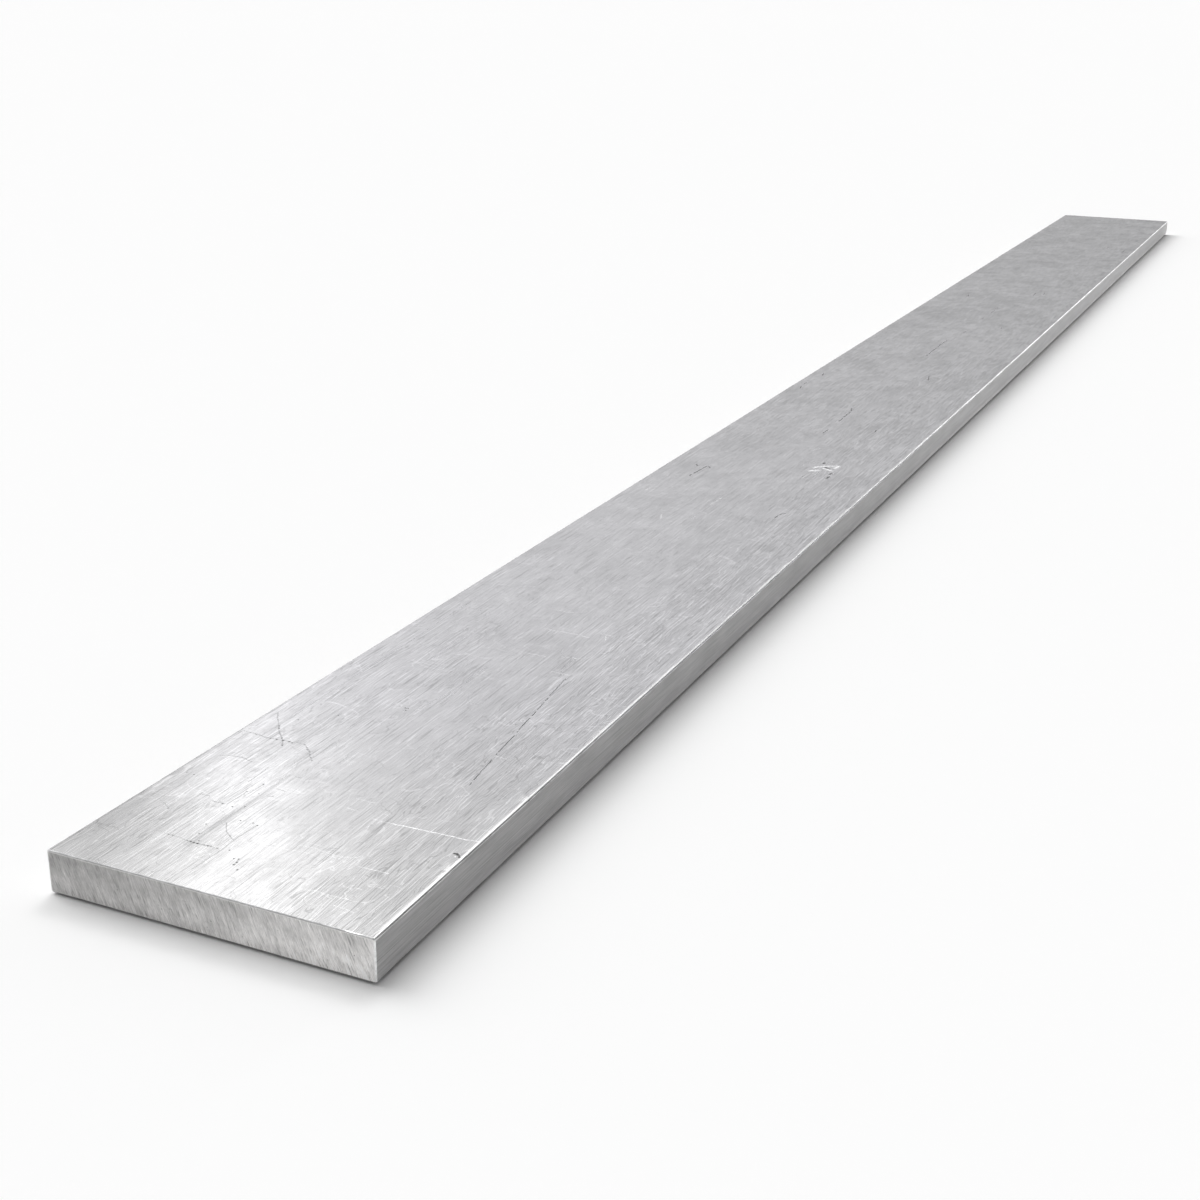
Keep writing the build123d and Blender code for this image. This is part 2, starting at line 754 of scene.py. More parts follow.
@dataclass
class SawnEnd:
    """One cut end: the slanted marks of the saw, inside a narrow break filed round its outline."""

    size: BarSize
    direction: float
    outline: np.ndarray
    outward: np.ndarray
    marks: Marks
    mark_pitch: float = 0.3 * MM
    levels: int = 10
    mark_height: float = 0.008 * MM
    lean_near_left: float = math.radians(14)
    lean_near_right: float = math.radians(24)
    blade_radius: float = 175 * MM
    break_waver: float = 0.15
    break_waver_run: float = 5.3 * MM
    break_even_start: float = 6 * MM  # how much of the outline's start and end has an even break
    break_bulge: float = 0.08
    burr_highlight_width: float = 0.35 * MM
    rim_margin: float = 0.4 * MM

    # the saw marks: their share of the height, width and length, and where their waves are read
    RIPPLES = ((0.5, 0.62 * MM, 7 * MM, 0), (0.8, 1.7 * MM, 12 * MM, 90), (0.9, 6.5 * MM, 40 * MM, 33))
    SAW_SEED, BREAK_SEED = 51, 61
    PHASE_ROUNDS = 3  # rounds of the search for the saw mark that a place lies on
    ROW_REACH = 0.54  # how far out the rows of points start, in widths of the bar
    ROW_BREAKS, ROW_GAP = 1.3, 0.35 * MM  # they stop this many breaks and this gap inside the outline

    def _lean(self, place: np.ndarray) -> np.ndarray:
        """Give the slope of the saw marks at a place across the end."""
        share = 0.5 - place / self.size.width
        return np.tan(self.lean_near_left + (self.lean_near_right - self.lean_near_left) * share)

    def _drift(self, place: np.ndarray, height: np.ndarray) -> np.ndarray:
        """Give how far a saw mark has drifted across the end at a height."""
        up = height - self.size.thickness / 2
        return self._lean(place) * up + up * up / (2 * self.blade_radius)

    def _phase(self, places: np.ndarray) -> np.ndarray:
        """Find which saw mark each place lies on, by where the mark crosses the middle height.

        Args:
            places: Points on the end, across and up, in metres.

        Returns:
            Where across the end each one's mark crosses.
        """
        across, height = places.T
        phase = across.copy()
        for _ in range(self.PHASE_ROUNDS):
            phase = across - self._drift(phase, height)
        return phase

    def relief(self, places: np.ndarray) -> tuple[np.ndarray, np.ndarray]:
        """Work out how far each place stands out of the end, and its shade.

        Args:
            places: Points on the end, across and up, in metres.

        Returns:
            The relief in metres, and the shade of the marks.
        """
        phase, height = self._phase(places), places[:, 1]
        waves = Waves(self.SAW_SEED + (self.direction > 0))
        out = np.zeros(len(places))
        for share, width, run, start in self.RIPPLES:
            out += share * waves.field(phase / width + start, height / run)
        cut, shade = self.marks.measure(places)
        return out * self.mark_height + cut, shade

    def _break_widths(self) -> np.ndarray:
        """Work out how wide the file left the break.

        Returns:
            The width at each point of the outline.
        """
        run = np.hypot(*np.diff(self.outline, axis=0, prepend=self.outline[-1:]).T)
        around = np.cumsum(run)
        waver = Waves(self.BREAK_SEED + (self.direction > 0)).line(around / self.break_waver_run)
        closes = fade(np.minimum(around, around[-1] - around), 0, self.break_even_start)
        return self.size.end_break * (1 + self.break_waver * waver * closes)

    def _saw_rows(self) -> list[np.ndarray]:
        """Lay rows of points along the saw marks, kept clear of the outline.

        Returns:
            The points of each row.
        """
        inset = self.size.end_break * self.ROW_BREAKS + self.ROW_GAP
        side = self.size.width / 2 - inset
        heights = np.linspace(inset, self.size.thickness - inset, self.levels)
        rows = []
        limit = self.size.width * self.ROW_REACH
        for start in np.linspace(-limit, limit, round(2 * limit / self.mark_pitch)):
            across = start + self._drift(np.full(self.levels, start), heights)
            row = np.stack([across, heights], 1)[abs(across) < side]
            if len(row) > 1:
                rows.append(row)
        return rows

    def patches(self) -> list[Patch]:
        """Build the sawn face and the filed break round it.

        Returns:
            The patch of the face, then the patch of the break.
        """
        widths = self._break_widths()
        inner = self.outline - self.outward * widths[:, None]
        rows = self._saw_rows() + [row for cut in self.marks.cuts for row in cut.rows()]
        flat, faces = fill_outline(inner, rows, np.empty((0, 2)))
        out, shade = self.relief(flat)
        to_rim = gaps(flat, inner)
        out *= fade(to_rim, 0, self.rim_margin)
        along = self.direction * (self.size.length / 2 + out)
        points = np.column_stack([along, flat])
        faces = [face if self.direction > 0 else face[::-1] for face in faces]
        # the sawn face's rim carries a painted highlight, partly a bright burr, in the wear value
        sawn = Patch(points, faces, flat, Finish.SAWN, shade, fade(to_rim, self.burr_highlight_width, 0))
        return [sawn, self._break_patch(inner, widths)]

    def _break_patch(self, inner: np.ndarray, widths: np.ndarray) -> Patch:
        """Build the filed break between the skin of the bar and the sawn face.

        Args:
            inner: The outline of the sawn face.
            widths: How wide the break is at each of its points.

        Returns:
            The break's patch.
        """
        start = np.column_stack([np.full(len(inner), self.size.skin_reach), self.outline])
        end = np.column_stack([np.full(len(inner), self.size.length / 2), inner])
        lift = np.column_stack([widths, self.outward * widths[:, None]]) * self.break_bulge
        rings = [start, (start + end) / 2 + lift, end]
        count = len(inner)
        closed = np.concatenate([np.arange(count), [0]])
        points = np.stack([ring[closed] for ring in rings], 1).reshape(-1, 3)
        points[:, 0] *= self.direction
        faces = grid_faces(count + 1, len(rings), flip=self.direction > 0)
        around, across = np.meshgrid(np.arange(count + 1), np.arange(len(rings)), indexing="ij")
        chart = np.column_stack([around.ravel(), across.ravel()])
        blank = np.zeros(len(points))
        # the break's inner ring carries the same painted highlight, so that the welded rim keeps it
        burr_highlight = (across.ravel() == len(rings) - 1).astype(float)
        return Patch(points, faces, chart, Finish.FILED, blank, burr_highlight)


def new_object(name: str, data: bpy.types.ID) -> bpy.types.Object:
    """Add an object to the scene.

    Args:
        name: The object's name.
        data: Its mesh or its camera.

    Returns:
        The object.
    """
    made = bpy.data.objects.new(name, data)
    bpy.context.scene.collection.objects.link(made)
    return made


class BarMesh:
    """Collects the patches, lays them out on one texture map and welds them into one closed skin."""

    MAP_NAME = "OFBake"
    FULL_WIDTH, NEAR_HALF, FAR_HALF = (0.002, 0.998), (0.002, 0.498), (0.502, 0.998)
    SHADE_NAME = "mark_shade"
    # the value that carries wear, painted highlights and painted shade
    WEAR_AND_LIGHT_NAME = "wear_and_painted_light"
    WELD_REACH = 0.002 * MM
    SHARP_ANGLE = math.radians(33)

    def __init__(self) -> None:
        """Start with no patches."""
        self.patches: list[Patch] = []
        self.charts: list[np.ndarray] = []

    def add(self, patch: Patch, rows: Pair, columns: Pair = FULL_WIDTH) -> None:
        """Take a patch in and give it a place on the texture map.

        Args:
            patch: The patch.
            rows: How far up the map its place starts and ends.
            columns: How far across the map its place starts and ends.
        """
        unit = (patch.chart - patch.chart.min(0)) / np.ptp(patch.chart, axis=0)
        low, high = np.array([columns, rows]).T
        self.patches.append(patch)
        self.charts.append(low + unit * (high - low))

    def build(self, name: str) -> bpy.types.Object:
        """Join the patches into one object.

        Args:
            name: The object's name.

        Returns:
            The object, in the scene.
        """
        firsts = np.cumsum([0] + [len(patch.points) for patch in self.patches])
        points = np.vstack([patch.points for patch in self.patches])
        faces, finishes, corners = [], [], []
        for first, patch, chart in zip(firsts, self.patches, self.charts):
            faces += [tuple(first + corner for corner in face) for face in patch.faces]
            finishes += [patch.finish.value] * len(patch.faces)
            corners.append(chart[[corner for face in patch.faces for corner in face]])
        mesh = bpy.data.meshes.new(name)
        mesh.from_pydata(points.tolist(), [], faces)
        mesh.polygons.foreach_set("material_index", finishes)
        layer = mesh.uv_layers.new(name=self.MAP_NAME)
        layer.uv.foreach_set("vector", np.vstack(corners).astype(np.float32).ravel())
        self._store(mesh, self.SHADE_NAME, [patch.shade for patch in self.patches])
        self._store(mesh, self.WEAR_AND_LIGHT_NAME, [patch.wear_and_light for patch in self.patches])
        self._weld(mesh)
        mesh.shade_smooth()
        mesh.set_sharp_from_angle(angle=self.SHARP_ANGLE)
        made = new_object(name, mesh)
        self._keep_flats_flat(made)
        return made

    @staticmethod
    def _keep_flats_flat(made: bpy.types.Object) -> None:
        """Let the wide faces set the shading, so that a score or a pit doesn't tint the flat round it.

        Args:
            made: The bar's object.
        """
        weighted = made.modifiers.new("flats", "WEIGHTED_NORMAL")
        weighted.mode = "FACE_AREA"
        weighted.keep_sharp = True
        with bpy.context.temp_override(object=made, active_object=made):
            bpy.ops.object.modifier_apply(modifier=weighted.name)

    @staticmethod
    def _store(mesh: bpy.types.Mesh, name: str, values: list[np.ndarray]) -> None:
        """Keep one value for each point of the mesh under a name that a finish can read."""
        attribute = mesh.attributes.new(name, "FLOAT", "POINT")
        attribute.data.foreach_set("value", np.concatenate(values).astype(np.float32))

    def _weld(self, mesh: bpy.types.Mesh) -> None:
        """Join the points that neighbouring patches share.

        Args:
            mesh: The mesh to weld.
        """
        work = bmesh.new()
        work.from_mesh(mesh)
        bmesh.ops.remove_doubles(work, verts=work.verts, dist=self.WELD_REACH)
        work.to_mesh(mesh)
        work.free()


# ---------------------------------------------------------------------------------------------------
# Finishes
# ---------------------------------------------------------------------------------------------------


class Ramp(NamedTuple):
    """An easing of one value into another: low at start and before it, high at end and past it."""

    start: float
    end: float
    low: float = 0.0
    high: float = 1.0


class Cloud(NamedTuple):
    """A cloudy noise, given by its clouds for each millimetre along, across and up."""

    along: float
    across: float
    up: float
    detail: float  # how many finer layers it has
    roughness: float = 0.5  # how strong each finer layer is beside the one before
    swirl: float = 0.0  # how far the clouds are stirred
    start: Triple = (0.0, 0.0, 0.0)  # which part of the endless noise is read


class Graph:
    """The node graph of one finish or of the light, with a short method for each step in use."""

    SOFTNESS = 0.08  # how far a noise rises from nothing kept to all kept
    QUARTER_TURN = 0.25  # turns the drawn-out gloss to lie across the grain

    def __init__(self, tree: bpy.types.NodeTree) -> None:
        """Start an empty graph.

        Args:
            tree: The tree to fill, cleared first.
        """
        self.tree = tree
        self.tree.nodes.clear()

    def add(self, kind: str, inputs: Optional[dict[Any, Any]] = None, **settings: Any) -> bpy.types.Node:
        """Add a node.

        Args:
            kind: The node's type.
            inputs: A socket to link or a plain value for each input, by the input's name or number.
            settings: The node's options.

        Returns:
            The node.
        """
        made = self.tree.nodes.new(kind)
        for key, value in settings.items():
            setattr(made, key, value)
        for key, value in (inputs or {}).items():
            if isinstance(value, Socket):
                self.tree.links.new(value, made.inputs[key])
            else:
                made.inputs[key].default_value = value
        return made

    def vector(self, operation: str, first: Socket, second: Colour) -> bpy.types.Node:
        """Work out one step on vectors or colours."""
        return self.add("ShaderNodeVectorMath", {0: first, 1: second}, operation=operation)

    def scale(self, vector: Socket, by: Colour) -> Socket:
        """Scale each part of a vector or a colour."""
        return self.vector("MULTIPLY", vector, by).outputs[0]

    def along(self, vector: Socket, way: Vector) -> Socket:
        """Measure a vector along a way."""
        return self.vector("DOT_PRODUCT", vector, way).outputs["Value"]

    def place(self) -> Socket:
        """Give the place on the bar in millimetres."""
        return self.scale(self.add("ShaderNodeTexCoord").outputs["Object"], (1 / MM, 1 / MM, 1 / MM))

    def cloud(self, place: Socket, cloud: Cloud) -> Socket:
        """Read a cloudy noise.

        Args:
            place: Where to read it.
            cloud: The noise.

        Returns:
            The noise, which lies about 0.5.
        """
        if any(cloud.start):
            place = self.vector("ADD", place, cloud.start).outputs[0]
        inputs = {"Vector": self.scale(place, cloud[:3]), "Scale": 1.0, "Detail": cloud.detail}
        inputs |= {"Roughness": cloud.roughness, "Distortion": cloud.swirl}
        return self.add("ShaderNodeTexNoise", inputs).outputs["Fac"]

    def math(self, operation: str, *values: Level) -> Socket:
        """Work out one step on one, two or three values."""
        return self.add("ShaderNodeMath", dict(enumerate(values)), operation=operation).outputs[0]

    def plus(self, *values: Level) -> Socket:
        """Add up values."""
        return reduce(partial(self.math, "ADD"), values)

    def times(self, *values: Level) -> Socket:
        """Multiply values."""
        return reduce(partial(self.math, "MULTIPLY"), values)

    def rest(self, share: Socket) -> Socket:
        """Give what a share leaves of 1."""
        return self.math("SUBTRACT", 1.0, share)

    def away(self, value: Socket, middle: float) -> Socket:
        """Measure how far a value is from a middle."""
        return self.math("ABSOLUTE", self.math("SUBTRACT", value, middle))

    def grade(self, value: Socket, ramp: Ramp) -> Socket:
        """Ease a value along a ramp.

        Args:
            value: The value to grade.
            ramp: Where the easing starts and ends, and what it gives there.

        Returns:
            The graded value.
        """
        inputs = {"Value": value, "From Min": ramp.start, "From Max": ramp.end}
        inputs |= {"To Min": ramp.low, "To Max": ramp.high}
        return self.add("ShaderNodeMapRange", inputs, interpolation_type="SMOOTHSTEP").outputs["Result"]

    def total(self, start: float, *shares: tuple[Socket, float]) -> Socket:
        """Add up noises, each taken about its middle of 0.5 and weighed.

        Args:
            start: The value where every noise is at its middle.
            shares: Each noise with its weight.

        Returns:
            The sum.
        """
        result: Level = start - 0.5 * sum(weight for _, weight in shares)
        for noise, weight in shares:
            result = self.math("MULTIPLY_ADD", noise, weight, result)
        return result

    def thread(self, noise: Socket, half_width: float) -> Socket:
        """Draw a thin curling line where a noise crosses its middle."""
        return self.grade(self.away(noise, 0.5), Ramp(half_width, 0.0))

    def lines(self, phase: Socket, share: float) -> Socket:
        """Draw a thin line wherever a phase passes a whole number, as wide as a share of their spacing."""
        return self.grade(self.away(self.math("FRACT", phase), 0.5), Ramp(0.5 - share, 0.5 - share * 0.3))

    def some(self, noise: Socket, start: float, shape: Socket) -> Socket:
        """Keep a shape only where a noise is above a start."""
        return self.times(self.grade(noise, Ramp(start, start + self.SOFTNESS)), shape)

    def blend(self, share: Socket, first: Level, second: Level) -> Socket:
        """Blend two values, the first where share is 0 and the second where it is 1."""
        return self.add("ShaderNodeMix", {0: share, 2: first, 3: second}, data_type="FLOAT").outputs[0]

    def blend_colour(self, share: Socket, first: Colour, second: Colour) -> Socket:
        """Blend two colours, the first where share is 0 and the second where it is 1."""
        return self.add("ShaderNodeMix", {0: share, 6: first, 7: second}, data_type="RGBA").outputs[2]

    def shaded(self, colour: Socket, *steps: tuple[Socket, Ramp]) -> Socket:
        """Darken or brighten a colour along each of several ways."""
        return reduce(lambda made, step: self.scale(made, self.grade(*step)), steps, colour)

    def coated(self, colour: Socket, *coats: tuple[Socket, Paint]) -> Socket:
        """Lay several coats over a colour, each where its share is 1."""
        return reduce(lambda made, coat: self.blend_colour(coat[0], made, coat[1]), coats, colour)

    def stored(self, name: str, ramp: Ramp) -> Socket:
        """Grade a value that the mesh keeps under a name."""
        kept = self.add("ShaderNodeAttribute", attribute_type="GEOMETRY", attribute_name=name)
        return self.grade(kept.outputs["Fac"], ramp)

    def bump(self, height: Socket, depth: float, below: Optional[Socket] = None) -> Socket:
        """Turn a height between 0 and 1 into a surface direction.

        Args:
            height: The height.
            depth: How far 1 stands above 0, in metres.
            below: The surface direction that this relief is laid over.

        Returns:
            The direction that the surface faces.
        """
        inputs = {"Strength": 1.0, "Distance": depth, "Height": height}
        if below is not None:
            inputs["Normal"] = below
        return self.add("ShaderNodeBump", inputs).outputs[0]

    def metal(self, colour: Socket, roughness: Socket, normal: Socket, anisotropy: float = 0.0) -> None:
        """End the graph in bare metal.

        Args:
            colour: The metal's colour.
            roughness: Its roughness.
            normal: The direction that its surface faces.
            anisotropy: How far its gloss is drawn out across the grain.
        """
        inputs = {"Metallic": 1.0, "Anisotropic": anisotropy, "Anisotropic Rotation": self.QUARTER_TURN}
        inputs |= {"Base Color": colour, "Roughness": roughness, "Normal": normal}
        if anisotropy:
            tangent = self.add("ShaderNodeTangent", direction_type="UV_MAP", uv_map=BarMesh.MAP_NAME)
            inputs["Tangent"] = tangent.outputs[0]
        shader = self.add("ShaderNodeBsdfPrincipled", inputs)
        self.add("ShaderNodeOutputMaterial", {"Surface": shader.outputs[0]})


def new_finish(name: str) -> tuple[bpy.types.Material, Graph]:
    """Start a material.

    Args:
        name: The material's name.

    Returns:
        The material and its empty node graph.
    """
    material = bpy.data.materials.new(name)
    material.use_nodes = True
    return material, Graph(material.node_tree)


@dataclass(frozen=True)
class MillFinish:
    """The drawn broad faces and long corners: grain, mottling, curls, marks, rubbed corners with a painted
    highlight, and painted shade along the corners.
    """

    pale: Paint = (0.930, 0.928, 0.932, 1)
    deep: Paint = (0.506, 0.505, 0.507, 1)
    cool: Triple = (1.003, 1.0, 1.030)
    fresh_metal: Paint = (0.90, 0.90, 0.91, 1)
    oxide: Paint = (0.08, 0.08, 0.08, 1)
    # a painted highlight on the rubbed corner, and near black painted shade: a painted contact shadow under
    # the lower corners and painted dark lines along the upper ones
    rub_and_highlight: Paint = (0.95, 0.95, 0.95, 1)
    painted_shade: Paint = (0.045, 0.045, 0.045, 1)
    roughness: float = 0.205
    fresh_roughness: float = 0.5
    oxide_roughness: float = 0.7
    rubbed_roughness: float = 0.40
    grain_depth: float = 0.0018 * MM
    crumple_depth: float = 0.006 * MM

    # the clouds that give the skin its tone, and the weights of the fine ones
    hair: Cloud = Cloud(0.046, 2.4, 2.4, 2, 0.7, 0.1)
    streak: Cloud = Cloud(0.02, 0.7, 0.7, 2, 0.7, 0.2)
    crumple: Cloud = Cloud(0.45, 0.8, 0.8, 3, 0.8, 0.5)
    mottle: Cloud = Cloud(0.035, 0.045, 0.045, 4, 0.8, 0.4)
    wander: Cloud = Cloud(0.012, 0.04, 0.04, 2)
    chipping: Cloud = Cloud(0.9, 0.9, 0.9, 2, 0.6)
    hair_weight: float = 0.75
    streak_weight: float = 0.17
    crumple_weight: float = 0.45

    # what its thin lines follow, and where they show
    drift: Cloud = Cloud(0.030, 0.14, 0.14, 3, 0.55)
    lined: Cloud = Cloud(0.05, 0.28, 0.28, 2, 0.6)
    curl: Cloud = Cloud(0.10, 0.16, 0.16, 2, 0.5, 0.6, (70.0, 0.0, 0.0))
    crease: Cloud = Cloud(0.055, 0.030, 0.030, 3, 0.6, 0.6, (0.0, 190.0, 0.0))
    curled: Cloud = Cloud(0.05, 0.07, 0.07, 3, 0.7)
    dash: Cloud = Cloud(0.055, 1.5, 1.5, 1, 0.5, 0.05, (0.0, 0.0, 40.0))
    lines_each_mm: float = 0.85
    line_waver: float = 8.0  # in line spacings
    line_share: float = 0.16
    deep_line_ratio: float = 1.31  # how much closer the deep lines lie than the pale ones
    curl_width: float = 0.016
    crease_width: float = 0.010
    line_start: float = 0.48
    curl_start: float = 0.50
    crease_start: float = 0.48
    pale_dashes: Ramp = Ramp(0.62, 0.70)
    deep_dashes: Ramp = Ramp(0.38, 0.31)
    # how much brighter, or darker below 0, lines, curls, creases and dashes make the metal
    line_tones: tuple[float, ...] = (0.30, -0.36, -0.36, 0.34, 0.45, -0.55)

    # across the bar or along it, in millimetres from its middle
    strip_waver: float = 30.0
    scuffed: Ramp = Ramp(-8.0, -26.0, 0.0, 0.65)
    left_strip: Ramp = Ramp(6.0, 20.0, 0.0, 0.35)
    left_strip_end: Ramp = Ramp(-520.0, -620.0)
    far_strength: Ramp = Ramp(-350.0, -150.0, 0.6, 0.95)
    far_mottle: Ramp = Ramp(-650.0, 500.0, 0.9, 2.5)
    cooler: Ramp = Ramp(-760.0, -600.0)

    # how far the marks, the rub with its painted highlight and the painted shade of the corners show
    bright_marks: Ramp = Ramp(0.0, 1.0)
    dark_marks: Ramp = Ramp(0.0, -1.0)
    bright_gaps: Ramp = Ramp(0.35, 0.55, 0.3, 1.0)
    rub_and_highlight_ramp: Ramp = Ramp(0.0, 0.6)
    painted_shade_ramp: Ramp = Ramp(0.0, -0.5)

    def material(self) -> bpy.types.Material:
        """Build the finish.

        Returns:
            The material.
        """
        material, graph = new_finish("mill_finish")
        place = graph.place()
        along, across = graph.along(place, ALONG), graph.along(place, ACROSS)
        noises = (self.hair, self.streak, self.crumple, self.mottle, self.wander, self.chipping)
        hair, streak, crumple, mottle, wander, chipping = (graph.cloud(place, noise) for noise in noises)
        weights = (self.hair_weight, self.streak_weight, self.crumple_weight)
        fine = graph.total(0.0, *zip((hair, streak, crumple), weights))
        fine = graph.plus(fine, self._lines(graph, place, across))
        strips = graph.plus(across, graph.total(0.0, (wander, self.strip_waver)))
        blotch = graph.times(graph.total(0.0, (mottle, 1.0)), graph.grade(along, self.far_mottle))
        tone = graph.plus(graph.times(fine, self._strength(graph, along, strips)), blotch, 0.5)
        colour = graph.blend_colour(tone, self.deep, self.pale)
        colour = graph.blend_colour(graph.grade(along, self.cooler), colour, graph.scale(colour, self.cool))
        bright = graph.stored(BarMesh.SHADE_NAME, self.bright_marks)
        bright = graph.times(bright, graph.grade(chipping, self.bright_gaps))
        dark = graph.stored(BarMesh.SHADE_NAME, self.dark_marks)
        # the painted highlight and the painted shade of the corners, read from the wear value
        rub_and_highlight = graph.stored(BarMesh.WEAR_AND_LIGHT_NAME, self.rub_and_highlight_ramp)
        painted_shade_share = graph.stored(BarMesh.WEAR_AND_LIGHT_NAME, self.painted_shade_ramp)
        colour = graph.coated(colour, (bright, self.fresh_metal), (dark, self.oxide))
        colour = graph.coated(colour, (rub_and_highlight, self.rub_and_highlight), (painted_shade_share, self.painted_shade))
        rough = graph.total(self.roughness, (hair, -0.10), (crumple, -0.08), (mottle, -0.10))
        rough = graph.blend(bright, rough, self.fresh_roughness)
        rough = graph.blend(dark, rough, self.oxide_roughness)
        rough = graph.blend(rub_and_highlight, rough, self.rubbed_roughness)
        normal = graph.bump(hair, self.grain_depth, graph.bump(crumple, self.crumple_depth))
        graph.metal(colour, rough, normal)
        return material

    def _strength(self, graph: Graph, along: Socket, across: Socket) -> Socket:
        """Grade how strongly the skin is scratched: most on the right, least down the middle.

        Args:
            graph: The finish's node graph.
            along: The place along the bar in millimetres.
            across: The place across the bar in millimetres, with a little waver.

        Returns:
            The strength of the scratches.
        """
        left = graph.times(graph.grade(across, self.left_strip), graph.grade(along, self.left_strip_end))
        return graph.plus(graph.grade(across, self.scuffed), graph.grade(along, self.far_strength), left)

    def _lines(self, graph: Graph, place: Socket, across: Socket) -> Socket:
        """Draw the fine lines of the skin: wavy ones along the bar and short curls in all directions.

        Args:
            graph: The finish's node graph.
            place: The place on the bar in millimetres.
            across: The place across the bar in millimetres.

        Returns:
            How much brighter, or darker below 0, the lines make the metal.
        """
        noises = (self.drift, self.lined, self.curl, self.crease, self.curled, self.dash)
        drift, lined, curl, crease, curled, dash = (graph.cloud(place, noise) for noise in noises)
        phase = graph.plus(graph.times(across, self.lines_each_mm), graph.times(drift, self.line_waver))
        pale_lines = graph.lines(phase, self.line_share)
        deep_lines = graph.lines(graph.times(phase, self.deep_line_ratio), self.line_share)
        shapes = (
            graph.some(lined, self.line_start, pale_lines),
            graph.some(graph.rest(lined), self.line_start, deep_lines),
            graph.some(curled, self.curl_start, graph.thread(curl, self.curl_width)),
            graph.some(graph.rest(curled), self.crease_start, graph.thread(crease, self.crease_width)),
            graph.grade(dash, self.pale_dashes),
            graph.grade(dash, self.deep_dashes),
        )
        return graph.plus(*(graph.times(shape, tone) for shape, tone in zip(shapes, self.line_tones)))


@dataclass(frozen=True)
class EdgeFinish:
    """The drawn narrow faces: duller than the broad ones, with straight die lines along the bar, and
    painted light and shade along the bar and up the face.
    """

    pale: Paint = (0.563, 0.560, 0.561, 1)
    deep: Paint = (0.382, 0.380, 0.381, 1)
    die_mark: Paint = (0.33, 0.33, 0.33, 1)
    oxide: Paint = (0.10, 0.10, 0.10, 1)
    roughness: float = 0.52
    anisotropy: float = 0.78
    line_depth: float = 0.004 * MM
    lines: Cloud = Cloud(0.035, 2.4, 2.4, 3, 0.85, 0.1)
    bands: Cloud = Cloud(0.006, 0.5, 0.5, 2)
    cloud: Cloud = Cloud(0.05, 0.2, 0.2, 5, 0.75)
    line_weight: float = 1.9
    die_mark_height: float = 6.1
    die_mark_width: float = 0.22
    die_mark_strength: float = 0.6
    die_mark_gaps: Ramp = Ramp(0.3, 0.6)
    dark_marks: Ramp = Ramp(0.0, -1.0)

    # along the bar, in millimetres from its middle: the lines' strength, painted light towards the far end,
    # painted shade over the last of it, and painted light on the foot there
    near_lines: Ramp = Ramp(-600.0, -350.0, 1.6, 1.0)
    far_painted_light: Ramp = Ramp(-600.0, 0.0, 1.0, 1.22)
    last_painted_shade: Ramp = Ramp(480.0, 700.0, 1.0, 0.88)
    far_foot_painted_light: Ramp = Ramp(-620.0, 100.0)

    # up from the floor, in millimetres: painted light on the foot, painted shade towards the top, and where
    # and how strongly the far foot's painted light shows
    edge_foot_painted_light: Ramp = Ramp(0.8, 3.2, 1.21, 1.05)
    edge_top_painted_shade: Ramp = Ramp(3.2, 11.0, 1.0, 0.90)
    far_foot_height: Ramp = Ramp(3.0, 1.4)
    far_foot_tone: float = 1.20

    def material(self) -> bpy.types.Material:
        """Build the finish.

        Returns:
            The material.
        """
        material, graph = new_finish("edge_finish")
        place = graph.place()
        along, height = graph.along(place, ALONG), graph.along(place, UP)
        lines, bands, cloud = (graph.cloud(place, noise) for noise in (self.lines, self.bands, self.cloud))
        lined = graph.total(0.0, (lines, self.line_weight))
        lined = graph.times(lined, graph.grade(along, self.near_lines))
        tone = graph.plus(graph.total(0.5, (bands, 0.25), (cloud, 0.9)), lined)
        colour = graph.blend_colour(tone, self.deep, self.pale)
        # painted light and shade along the bar and up the face
        colour = graph.shaded(colour, (along, self.far_painted_light), (along, self.last_painted_shade))
        colour = graph.shaded(colour, (height, self.edge_foot_painted_light), (height, self.edge_top_painted_shade))
        far_foot_painted_light = graph.times(graph.grade(along, self.far_foot_painted_light), graph.grade(height, self.far_foot_height))
        colour = graph.scale(colour, graph.blend(far_foot_painted_light, 1.0, self.far_foot_tone))
        die_mark = graph.grade(graph.away(height, self.die_mark_height), Ramp(self.die_mark_width, 0.0))
        die_mark = graph.times(die_mark, graph.grade(bands, self.die_mark_gaps), self.die_mark_strength)
        dark = graph.stored(BarMesh.SHADE_NAME, self.dark_marks)
        colour = graph.coated(colour, (die_mark, self.die_mark), (dark, self.oxide))
        rough = graph.total(self.roughness, (lines, -0.1), (cloud, -0.1))
        normal = graph.bump(graph.total(0.5, (lines, 0.8), (bands, 0.8)), self.line_depth)
        graph.metal(colour, rough, normal, self.anisotropy)
        return material


